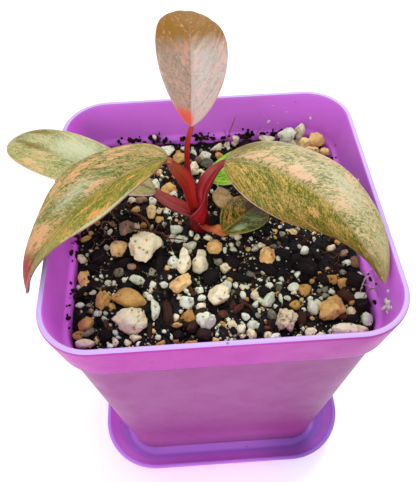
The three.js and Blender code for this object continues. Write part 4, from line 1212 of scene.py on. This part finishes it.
def chunk_places():
    """x, y, length, width, turn in degrees and tone of the large pieces of bark.

    The slanting view shows lengths on the mix flattened up and down the photo.
    """
    flattened = 0.79
    for px, py, length, width, angle, tone in CHUNKS:
        x, y, pixels = seen_on_mix(px, py)
        c, s = math.cos(math.radians(angle)), math.sin(math.radians(angle))
        length *= math.hypot(c, s / flattened) / pixels
        width *= math.hypot(s, c / flattened) / pixels
        turn = math.degrees(math.atan2(s / flattened, c)) - 90
        x, y = np.clip(round(x, 1), -29.0, 29.0), min(round(y, 1), 29.2)
        yield x, y, round(length, 1), round(width, 1), round(turn), tone


class Heap:
    """Collects many small forms into one piece."""

    def __init__(self):
        self.points, self.tris, self.values, self.count = [], [], [], 0

    def add(self, points, tris, tone, grain, crease=0.0):
        self.points.append(points)
        self.tris.append(tris + self.count)
        more = np.zeros((len(points), 5))
        more[:, 0], more[:, 1:4], more[:, 4] = tone, grain, crease
        self.values.append(more)
        self.count += len(points)

    def make(self, name, material, slot):
        tone, grain, crease = np.split(np.vstack(self.values), [1, 4], axis=1)
        values = {"tone": tone[:, 0], "grain": grain, "crease": crease[:, 0]}
        piece = make_piece(name, np.vstack(self.points), (), np.vstack(self.tris), [material], values)
        return piece


class Places:
    """Remembers which parts of the mix are taken."""

    def __init__(self, share=0.45):
        self.taken = np.array([(s[0], s[1], max(s[2], s[3]) * share) for s in STONES.values()])

    def take(self, x, y, reach):
        self.taken = np.vstack([self.taken, (x, y, reach)])

    def free(self, x, y, reach):
        edge = np.abs([x, y]) - (SOIL_HALF - SOIL_CORNER)
        outside = np.hypot(*np.maximum(edge, 0)) + min(max(edge), 0) - SOIL_CORNER
        if outside > -reach - 0.1 or math.hypot(x - STEM[0], y - STEM[1]) < 2.6 + reach:
            return False
        away = np.hypot(self.taken[:, 0] - x, self.taken[:, 1] - y)
        return bool((away > self.taken[:, 2] + 0.8 * reach).all())

    def find(self, random, reach, crowd=None):
        """A free place. crowd is a seed for where such things gather.

        Fewer lie right of the middle, which is bare, and more at the front.
        """
        for _ in range(20):
            x, y = random.uniform(-30.4, 30.4, 2)
            if crowd is not None:
                here = noise(np.array([[x, y, 0.0]]), 5, crowd)[0] * 0.5 + 0.5
                bare = math.exp(-((x - 16) ** 2) / 160 - (y + 6) ** 2 / 80)
                side = 1.3 if y < -12 else 0.6 if x < -10 else 0.7
                if random.random() > here**2 * 1.8 * (1 - 0.7 * bare) * side:
                    continue
            if self.free(x, y, reach):
                return x, y
        return None


def random_turn(random):
    """A random rotation matrix."""
    basis, _ = np.linalg.qr(random.normal(size=(3, 3)))
    return basis * np.sign(np.linalg.det(basis))


def grains():
    """The small pale stones and grains, in a piece for each colour."""
    random = np.random.default_rng(2024)
    heaps = {finish: Heap() for finish in GRAVEL}
    places = Places()
    for finish in GRAVEL:
        for x, y, width, depth in gravel_places(finish):
            points, tris = BALLS[3 if max(width, depth) > 2.6 else 2]
            tall = 0.5 * (width + depth)
            form, crease = stone_form(points, random, random.uniform(0.1, 0.9), random.uniform(0.3, 0.9))
            shape = turned(form * [width / 2, depth / 2, tall / 2], random.uniform(-0.4, 0.4))
            shape += [x, y, level_at(x, y) - 0.02 * tall]
            heaps[finish].add(shape, tris, random.uniform(0.2, 0.9), form, crease)
            places.take(x, y, max(width, depth) * 0.42)
    for x, y, z, *size, finish in PILE:
        points, tris = BALLS[3]
        form, crease = stone_form(points, random, random.uniform(0.3, 0.8), random.uniform(0.3, 0.7))
        shape = turned(form * np.array(size) / 2, random.uniform(-0.5, 0.5)) + [x, y, z]
        heaps[finish].add(shape, tris, random.uniform(0.4, 0.9), form, crease)
    pale = ("white", "white", "white", "white", "cream", "grey", "tan", "orange")
    for count, low, high, level, crowd, finishes in (
        (60, 0.6, 1.0, 2, 31, pale + ("cream", "brown")),
        (620, 0.22, 0.7, 1, 32, pale),
        (1500, 0.10, 0.30, 0, 33, ("white", "white", "cream", "grey", "tan")),
    ):
        points, tris = BALLS[level]
        for _ in range(count):
            radius = low + (high - low) * random.random() ** 1.5
            place = places.find(random, radius * 0.9, crowd)
            if place is None:
                continue
            form, crease = stone_form(points, random, random.uniform(0.2, 1), 0.6)
            shape = form * radius * random.uniform(0.65, 1.15, 3) @ random_turn(random)
            shape += [*place, ground_at(*place) + random.uniform(-0.2, 0.5) * radius]
            finish = finishes[random.integers(len(finishes))]
            heaps[finish].add(shape, tris, random.uniform(0, 1), form, crease)
            if level == 2:
                places.take(*place, radius * 0.8)
    for finish, heap in heaps.items():
        heap.make(finish + "_grit", STONE_SKINS[finish], STONE_SLOTS[finish])


grains()


def chips():
    """Bark chips, peat crumbs and root fibres."""
    random = np.random.default_rng(77)
    bark_heap, crumb_heap, fibre_heap = Heap(), Heap(), Heap()
    places = Places(0.34)
    for x, y, length, width, turn, tone in chunk_places():
        points, tris = BALLS[3]
        form = chip_form(random, points, np.array([width, length, 0.45 * width + 0.5]) / 2)
        shape = turned(form @ tilted(random.normal(0, 0.15)), math.radians(turn))
        shape += [x, y, level_at(x, y) + 0.35]
        bark_heap.add(shape, tris, tone, form)
        places.take(x, y, min(length, width) * 0.35)
    points, tris = BALLS[2]
    for place in BANKS:
        for _ in range(9):
            length = random.uniform(0.6, 1.9)
            form = chip_form(random, points, np.array([0.5, 1.0, 0.45]) * length / 2)
            shape = form @ random_turn(random) + place + random.normal(0, [1.3, 0.25, 0.5])
            shape[:, 1] = np.minimum(shape[:, 1], 32.3)
            crumb_heap.add(shape, tris, random.random() ** 2, form)
    for heap, count, level, low, high in (
        (bark_heap, 90, 2, 1.8, 3.6),
        (bark_heap, 240, 1, 0.8, 2.0),
        (crumb_heap, 1750, 1, 0.6, 2.2),
    ):
        points, tris = BALLS[level]
        for _ in range(count):
            length = low + (high - low) * random.random() ** 2
            place = places.find(random, length * 0.25)
            if place is None:
                continue
            wide, flat = random.uniform(0.3, 0.75), random.uniform(0.2, 0.5)
            form = chip_form(random, points, np.array([wide, 1.0, flat]) * length / 2)
            shape = turned(form @ tilted(random.normal(0, 0.5)), random.uniform(0, 2 * math.pi))
            shape += [*place, ground_at(*place) + random.uniform(0, 0.25) * length]
            heap.add(shape, tris, random.random() ** 1.7, form)
    for _ in range(170):
        x, y = random.uniform(-29, 29, 2)
        heading = random.uniform(0, 2 * math.pi)
        line = []
        for _ in range(random.integers(6, 16)):
            if not places.free(x, y, 0.2):
                break
            line.append((x, y, ground_at(x, y) + 0.2 + abs(random.normal(0, 0.3))))
            heading += random.normal(0, 0.35)
            x, y = x + 0.55 * math.cos(heading), y + 0.55 * math.sin(heading)
        if len(line) > 3:
            tube(fibre_heap, line, random.uniform(0.05, 0.13), random.uniform(0, 1))
    for line, radius, tone in LONG_FIBRES:
        tube(fibre_heap, line, radius, tone)
    bark_heap.make("bark_chips", STONE_SKINS["bark"], "bark")
    crumb_heap.make("peat_crumbs", CRUMBS, "potting_mix")
    fibre_heap.make("root_fibres", FIBRE, "bark")


def tilted(angle):
    """Lifts one end of a chip."""
    c, s = math.cos(angle), math.sin(angle)
    return np.array([[1, 0, 0], [0, c, s], [0, -s, c]])


# White specks on the inside of the collar: x, y, z and radius
WALL_SPECKS = [
    (16.3, 33.0, 72.4, 0.5), (18.8, 33.0, 71.9, 0.55), (14.9, 33.3, 74.6, 0.3), (20.8, 33.3, 75.0, 0.3),
    (17.2, 33.5, 77.0, 0.25), (27.0, 31.8, 73.6, 0.35), (33.2, 6.4, 76.0, 0.5), (33.0, 8.0, 75.2, 0.3),
    (32.7, -25.0, 72.8, 0.7), (32.6, -24.4, 73.6, 0.6), (32.5, -25.6, 71.9, 0.6), (32.8, -23.2, 72.6, 0.5),
    (32.4, -24.2, 71.0, 0.6), (33.0, -25.8, 73.9, 0.4), (32.9, -22.2, 74.2, 0.35),
]
# Where the crumbs gather along a wall
CLUMPS = (-21.0, -16.5, -13.5, -6.0, -3.5, 2.0, 7.5, 10.5, 17.0, 21.5)


def wall_crumbs():
    """Peat and grit stuck to the inside of the pot's collar, low down."""
    random = np.random.default_rng(5)
    dark, pale = Heap(), Heap()
    points, tris = BALLS[1]
    for _ in range(150):
        half = STEP_HALVES[0] + 1.4 * random.random() ** 2
        height = np.interp(half, STEP_HALVES, STEP_HEIGHTS)
        along = random.choice(CLUMPS) + random.normal(0, 1.6)
        front, right, back, left = (along, -half), (half, along), (along, half), (-half, along)
        x, y = (front, right, back, left)[random.choice(4, p=[0.05, 0.2, 0.5, 0.25])]
        size = random.uniform(0.15, 0.7) / (1 + 0.6 * max(0, height - 69.6))
        form, _ = stone_form(points, random, 0.8, 0.8)
        dark.add(form * size * random.uniform(0.5, 1.2, 3) + [x, y, height], tris, random.random(), form)
    points, tris = BALLS[2]
    for x, y, z, radius in WALL_SPECKS:
        form, crease = stone_form(points, random, 0.8, 0.8)
        pale.add(form * radius * random.uniform(0.6, 1.1, 3) + [x, y, z], tris, 0.6, form, crease)
    dark.make("wall_peat", CRUMBS, "potting_mix")
    pale.make("wall_grit", STONE_SKINS["white"], "white_stone")


def tube(heap, line, radius, tone, sides=5):
    path, ahead = smooth_path(line, 3 * len(line))
    side = unit(np.cross(np.tile([0.0, 0, 1], (len(path), 1)), ahead))
    above = np.cross(ahead, side)
    turn = np.arange(sides) * 2 * math.pi / sides
    thin = radius * (1 - 0.55 * np.abs(np.linspace(-1, 1, len(path))) ** 3)[:, None, None]
    round_ring = side[:, None] * np.cos(turn)[:, None] + above[:, None] * np.sin(turn)[:, None]
    rings = path[:, None] + thin * round_ring
    points, quads = skin(rings)
    points, tris = caps(points, len(rings), sides)
    halves = np.vstack([quads[:, [0, 1, 2]], quads[:, [0, 2, 3]], tris])
    length = np.append(np.repeat(np.linspace(0, len(path), len(path)), sides), [0, 1])
    heap.add(points, halves, tone, np.column_stack([points[:, 0], length, points[:, 2]]))


chips()
wall_crumbs()


# Leaves


def run(span, share):
    return span[0] + (span[1] - span[0]) * share


def directions(leaf, s):
    """Ahead along the midrib, left and up, for shares of its length."""
    heading = np.radians(run(leaf["heading"], s ** leaf["heading"][2]))
    pitch = np.radians(run(leaf["pitch"], s ** leaf["pitch"][2]))
    ahead = np.stack([np.cos(pitch) * np.cos(heading), np.cos(pitch) * np.sin(heading), np.sin(pitch)], -1)
    left = np.stack([-np.sin(heading), np.cos(heading), 0 * heading], -1)
    return ahead, left, np.cross(ahead, left)


def half_width(leaf, s):
    base, tip = leaf["shape"]
    widest = base / (base + tip)
    return leaf["width"] / 2 * s**base * (1 - s) ** tip / (widest**base * (1 - widest) ** tip)


def midrib(leaf, steps=120):
    ahead, _, _ = directions(leaf, (np.arange(steps) + 0.5) / steps)
    base = np.array(leaf["base"])
    return np.vstack([base, base + np.cumsum(ahead * leaf["length"] / steps, axis=0)])


def blade_points(leaf, s, v):
    """The blade's middle surface at arrays of s and v."""
    line = midrib(leaf)
    places = s * (len(line) - 1)
    middle = np.stack([np.interp(places, np.arange(len(line)), line[:, k]) for k in range(3)], -1)
    _, left, above = directions(leaf, s)
    roll = np.radians(run(leaf["roll"], s))[..., None]
    side = left * np.cos(roll) + above * np.sin(roll)
    up = above * np.cos(roll) - left * np.sin(roll)
    lift = np.radians(run(leaf["fold"], s) + leaf["curl"] * np.abs(v))
    reach = half_width(leaf, s) * np.abs(v) * np.where(v > 0, leaf["sides"][0], leaf["sides"][1])
    height, count, start = leaf["wave"]
    swell = height * np.sin(2 * np.pi * (count * s + start)) * np.sin(np.pi * s)
    return (middle + side * (reach * np.cos(lift) * np.sign(v))[..., None]
            + up * (reach * np.sin(lift) + swell * v * np.abs(v))[..., None])


def blade_form(leaf, rows, columns):
    """Rings round the blade from its base to its tip, with the numbers for its colours."""
    end = leaf.get("end", 0.9995)
    s = 0.0004 + (end - 0.0004) * (1 - np.cos(np.linspace(0, np.pi, rows))) / 2
    v = np.cos(np.pi * np.arange(columns + 1) / columns)
    s, v = np.meshgrid(s, v, indexing="ij")
    step = 2e-4
    middle = blade_points(leaf, s, v)
    ahead, behind = np.minimum(s + step, 0.9999), np.maximum(s - step, 1e-5)
    along = blade_points(leaf, ahead, v) - blade_points(leaf, behind, v)
    inner = np.clip(v, -1 + step, 1 - step)
    across = blade_points(leaf, s, inner + step) - blade_points(leaf, s, inner - step)
    normal = unit(np.cross(along, across))
    width = half_width(leaf, s)
    thick = np.minimum(0.25 - 0.08 * v**2, 0.4 * width + 0.03) * np.sqrt(np.maximum(0, 1 - v**24))
    from_rib = np.abs(v) * width
    from_margin = width * (1 - np.abs(v))
    vein = s - 0.5 * np.abs(v) ** 1.25
    ridge = np.abs(np.sin(np.pi * vein * leaf["length"] / 2.6))
    calm = smooth_step(0.15, 1.2, from_rib) * smooth_step(0, 0.9, from_margin)
    calm = calm * smooth_step(0, 0.25, 1 - s)
    flat = np.stack([vein * leaf["length"], s * leaf["length"] * 0.3, np.sign(v) * 9], -1).reshape(-1, 3)
    ripple = fractal(flat, 2.2, 3, 5).reshape(s.shape)
    relief = calm * (0.05 * (ridge - 0.6) + 0.09 * ripple)
    fade = 1 - 0.75 * s
    groove = -0.28 * fade * np.exp(-((from_rib / 0.42) ** 2)) * smooth_step(0, 0.9, width)
    rib = 0.7 * fade * np.exp(-((from_rib / 0.5) ** 2)) * smooth_step(0, 1.2, width)
    upper = middle + normal * (thick + relief + groove)[..., None]
    lower = middle - normal * (thick - relief + rib)[..., None]
    rings = np.concatenate([upper, lower[:, -2:0:-1]], axis=1)

    def both(value):
        return np.concatenate([value, value[:, -2:0:-1]], axis=1).ravel()

    under = np.concatenate([np.zeros_like(v), np.ones_like(v[:, 2:])], axis=1).ravel()
    blade = np.column_stack([both(s), both(v), under])
    reach = np.column_stack([both(from_rib), both(from_margin), 0 * under])
    veins = np.column_stack([both(vein) * leaf["length"] * 0.47, both(s) * leaf["length"] * 1.1,
                             both(np.where(v > 0, 40.0, 0.0))])
    return rings, blade, reach, veins


def tints(blade, patches):
    """How strong each kind of patch is at the blade's points."""
    made = np.zeros((len(blade), 4))
    for kind, spots in patches.items():
        for s, v, ds, dv, strength in spots:
            away = ((blade[:, 0] - s) / ds) ** 2 + ((blade[:, 1] - v) / dv) ** 2
            made[:, kind] = np.maximum(made[:, kind], strength * np.exp(-away))
    return made


def stalk_form(leaf, rows=72, sides=40):
    """A stalk with a channel along its upper side, from the stem into the blade."""
    _, _, above = directions(leaf, np.array(0.0))
    line = midrib(leaf)
    tuck = line[round(2.6 / leaf["length"] * 120)]
    sink = -0.5 * above
    *_, widths = np.array(leaf["petiole"]).T
    widths = np.append(widths, [widths[-1] * 0.8, widths[-1] * 0.45])
    stations = [*np.array(leaf["petiole"])[:, :3], line[0] + sink, tuck + sink]
    path, ahead = smooth_path(stations, rows)
    t = np.linspace(0, 1, rows)[:, None]
    half, _ = smooth_path(np.column_stack([widths] * 3), rows)
    half *= leaf.get("slim", 1.0)
    low, high = unit(np.array(leaf["faces"], float))
    faces = low + (high - low) * smooth_step(0, 0.5, t)
    faces = faces + (above - faces) * smooth_step(0.6, 1, t)
    side = unit(np.cross(faces, ahead))
    up = np.cross(ahead, side)
    turn = np.arange(sides) * 2 * math.pi / sides
    x, y = np.cos(turn), np.sin(turn)
    rise = leaf["channel"] * np.abs(x) ** 1.6 + np.where(y > 0, 0.32, 0.7) * y
    groove = 0.10 * np.exp(-((x / 0.22) ** 2)) * (y > 0)
    rim = 0.06 * smooth_step(0.85, 1.0, np.abs(x))
    flat = half[:, :1] * x
    tall = half[:, :1] * (rise - groove + rim)
    rings = path[:, None] + side[:, None] * flat[..., None] + up[:, None] * tall[..., None]
    lumps = 0.035 * fractal(rings.reshape(-1, 3), 1.6, 3, 41).reshape(flat.shape)
    middle = rings.mean(1, keepdims=True)
    rings += unit(rings - middle) * lumps[..., None]
    channel = np.repeat(((y > 0.02) * (1 - np.abs(x) ** 3))[None], rows, 0)
    stalk = np.stack([np.repeat(t, sides, 1), np.repeat(x[None], rows, 0), channel], -1)
    return rings, stalk.reshape(-1, 3)


STALK_SKINS = {
    "leaf_upright": stalk_skin("upright_stalk", "84060E", "A80E1C", "B0522A", 0.9),
    "leaf_left": stalk_skin("left_stalk", "860C12", "AA1E18", "98502A", 0.65),
    "leaf_back_left": stalk_skin("back_left_stalk", "701416", "982E24", "84402E", 0.9),
    "leaf_right": stalk_skin("right_stalk", "7C0A12", "A2161C", "7C3228", 0.85),
    "leaf_low_front": stalk_skin("low_front_stalk", "981A14", "BC4028", "B8702A", 0.5),
    "leaf_low_back": stalk_skin("low_back_stalk", "7A2A20", "8A5028", "7A8A30", 0.6),
}


def leaf_pieces():
    for name, leaf in LEAVES.items():
        small = leaf["length"] < 20
        rows, columns = (70, 44) if small else (150, 72)
        rings, blade, reach, veins = blade_form(leaf, rows, columns)
        points, quads = skin(rings)
        points, tris = caps(points, len(rings), rings.shape[1])
        ends = [0, -1]
        blade = np.vstack([blade, blade[ends]])
        reach = np.vstack([reach, reach[ends]])
        veins = np.vstack([veins, veins[ends]])
        # tint holds the strengths of the patches, the painted sheen's among them
        tint = tints(blade, LOOKS[name]["patches"])
        reach[:, 2] = tint[:, BLUSH]
        stalk_rings, stalk = stalk_form(leaf)
        more, more_quads = skin(stalk_rings)
        more, more_tris = caps(more, len(stalk_rings), stalk_rings.shape[1])
        stalk = np.vstack([stalk, stalk[ends]])
        first = len(points)
        blank = np.zeros((len(more), 3))
        values = {
            "blade": np.vstack([blade, blank]),
            "reach": np.vstack([reach, blank]),
            "vein": np.vstack([veins, blank]),
            "tint": np.vstack([tint[:, :3], blank]),
            "stalk": np.vstack([np.zeros((first, 3)), stalk]),
        }
        faces = [0] * len(quads) + [1] * len(more_quads) + [0] * len(tris) + [1] * len(more_tris)
        piece = make_piece(
            name + "_form",
            np.vstack([points, more]),
            np.vstack([quads, more_quads + first]),
            np.vstack([tris, more_tris + first]),
            [leaf_skin(name, LOOKS[name]), STALK_SKINS[name]],
            values,
            faces,
        )
        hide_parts(name)


leaf_pieces()


# Stem: the crown above the mix, and its rootstock and roots


def stem_piece():
    # Height over the mix and radius
    levels = [(-24, 0.6), (-23.6, 0.9), (-16, 1.6), (-6, 2.1), (-1.5, 2.3), (0.3, 2.5), (2.2, 2.42),
              (3.8, 2.15), (4.7, 1.7), (5.15, 0.9)]
    heights, radii = np.array(levels).T
    fine = np.linspace(0, 1, 60)
    share = np.linspace(0, 1, len(levels))
    height, radius = np.interp(fine, share, heights), np.interp(fine, share, radii)
    angle = np.arange(40) * 2 * math.pi / 40
    rings = np.zeros((len(fine), len(angle), 3))
    rings[..., 0] = STEM[0] + radius[:, None] * np.cos(angle)
    rings[..., 1] = STEM[1] + radius[:, None] * np.sin(angle)
    rings[..., 2] = SOIL_LEVEL + height[:, None]
    flat = rings.reshape(-1, 3)
    lumps = 0.06 * fractal(flat, 2.5, 3, 21)
    flat[:, :2] += lumps[:, None] * unit(flat[:, :2] - STEM)
    points, quads = skin(rings)
    points, tris = caps(points, len(rings), len(angle))
    around = np.arctan2(points[:, 1] - STEM[1], points[:, 0] - STEM[0])
    stalk = np.column_stack([0.3 * (points[:, 2] - SOIL_LEVEL) / 5, np.sin(5 * around) * 0.8,
                             0 * points[:, 2]])
    heap = Heap()
    heap.add(points, np.vstack([quads[:, [0, 1, 2]], quads[:, [0, 2, 3]], tris]), 0.5, stalk)
    for index in range(4):
        start = (index + 0.3) * math.pi / 2
        line = []
        for share in np.linspace(0, 1, 8):
            turn = start + 0.5 * share
            line.append((STEM[0] + math.cos(turn) * 14.5 * share, STEM[1] + math.sin(turn) * 14.5 * share,
                         SOIL_LEVEL - 5 - 2.2 * index - 25 * share**2))
        tube(heap, line, 0.85, 0.5, 8)
    skin_of = stalk_skin("crown_skin", "4A040A", "6C0A12", "5E0C10")
    values = {"stalk": np.vstack(heap.values)[:, 1:4]}
    piece = make_piece("crown", np.vstack(heap.points), (), np.vstack(heap.tris), [skin_of], values)
    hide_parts("stem")


stem_piece()


# Floor, light and camera


def floor_and_light():
    m = Shades("floor_paint")
    where = m.place()
    soft = m.noise(where, 60, 3)
    m.surface(Base_Color=m.mix(soft, "F4F3F5", "F9F8FA"), Roughness=0.9,
              Normal=m.bump(m.noise(where, 1.5, 3), 0.02))
    size = 1500
    corners = np.array([(-size, -size, 0), (size, -size, 0), (size, size, 0), (-size, size, 0)], float)
    mesh = bpy.data.meshes.new("floor")
    mesh.from_pydata((corners * MM).tolist(), [], [(0, 1, 2, 3)])
    mesh.materials.append(m.material)
    floor = bpy.data.objects.new("floor", mesh)
    bpy.context.scene.collection.objects.link(floor)
    floor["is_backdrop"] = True
    world = bpy.data.worlds.new("soft_sky")
    world.use_nodes = True
    background = world.node_tree.nodes["Background"]
    background.inputs["Color"].default_value = (0.93, 0.96, 1.0, 1)
    background.inputs["Strength"].default_value = 1.0
    bpy.context.scene.world = world
    for name, place, aim, size, power, tint in (
        ("window", (120, 380, 560), (0, 0, 70), 420, 2.9, (0.97, 0.99, 1.0)),
        ("room", (-180, -440, 340), (0, 0, 40), 420, 1.7, (1.0, 0.98, 0.95)),
    ):
        lamp = bpy.data.lights.new(name, "AREA")
        lamp.shape = "DISK"
        lamp.size = size * MM
        lamp.energy = power
        lamp.color = tint
        light = bpy.data.objects.new(name, lamp)
        back = unit(np.array(place, float) - np.array(aim, float))
        light.location = np.array(place) * MM
        light.rotation_mode = "QUATERNION"
        light.rotation_quaternion = Matrix(axes(back).T.tolist()).to_quaternion()
        bpy.context.scene.collection.objects.link(light)


def camera():
    data = bpy.data.cameras.new("camera")
    data.sensor_fit = "AUTO"
    data.sensor_width = 36
    data.lens = FOCAL / PHOTO_HEIGHT * 36
    data.clip_start, data.clip_end = 0.01, 20
    thing = bpy.data.objects.new("camera", data)
    thing.location = np.round(EYE, 1) * MM
    thing.rotation_mode = "QUATERNION"
    thing.rotation_quaternion = Matrix(VIEW.T.tolist()).to_quaternion()
    bpy.context.scene.collection.objects.link(thing)
    bpy.context.scene.camera = thing


floor_and_light()
camera()
bpy.context.scene.view_settings.view_transform = "Standard"

boxes = [[list(corner) for corner in box] for box in (cad_box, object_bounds())]
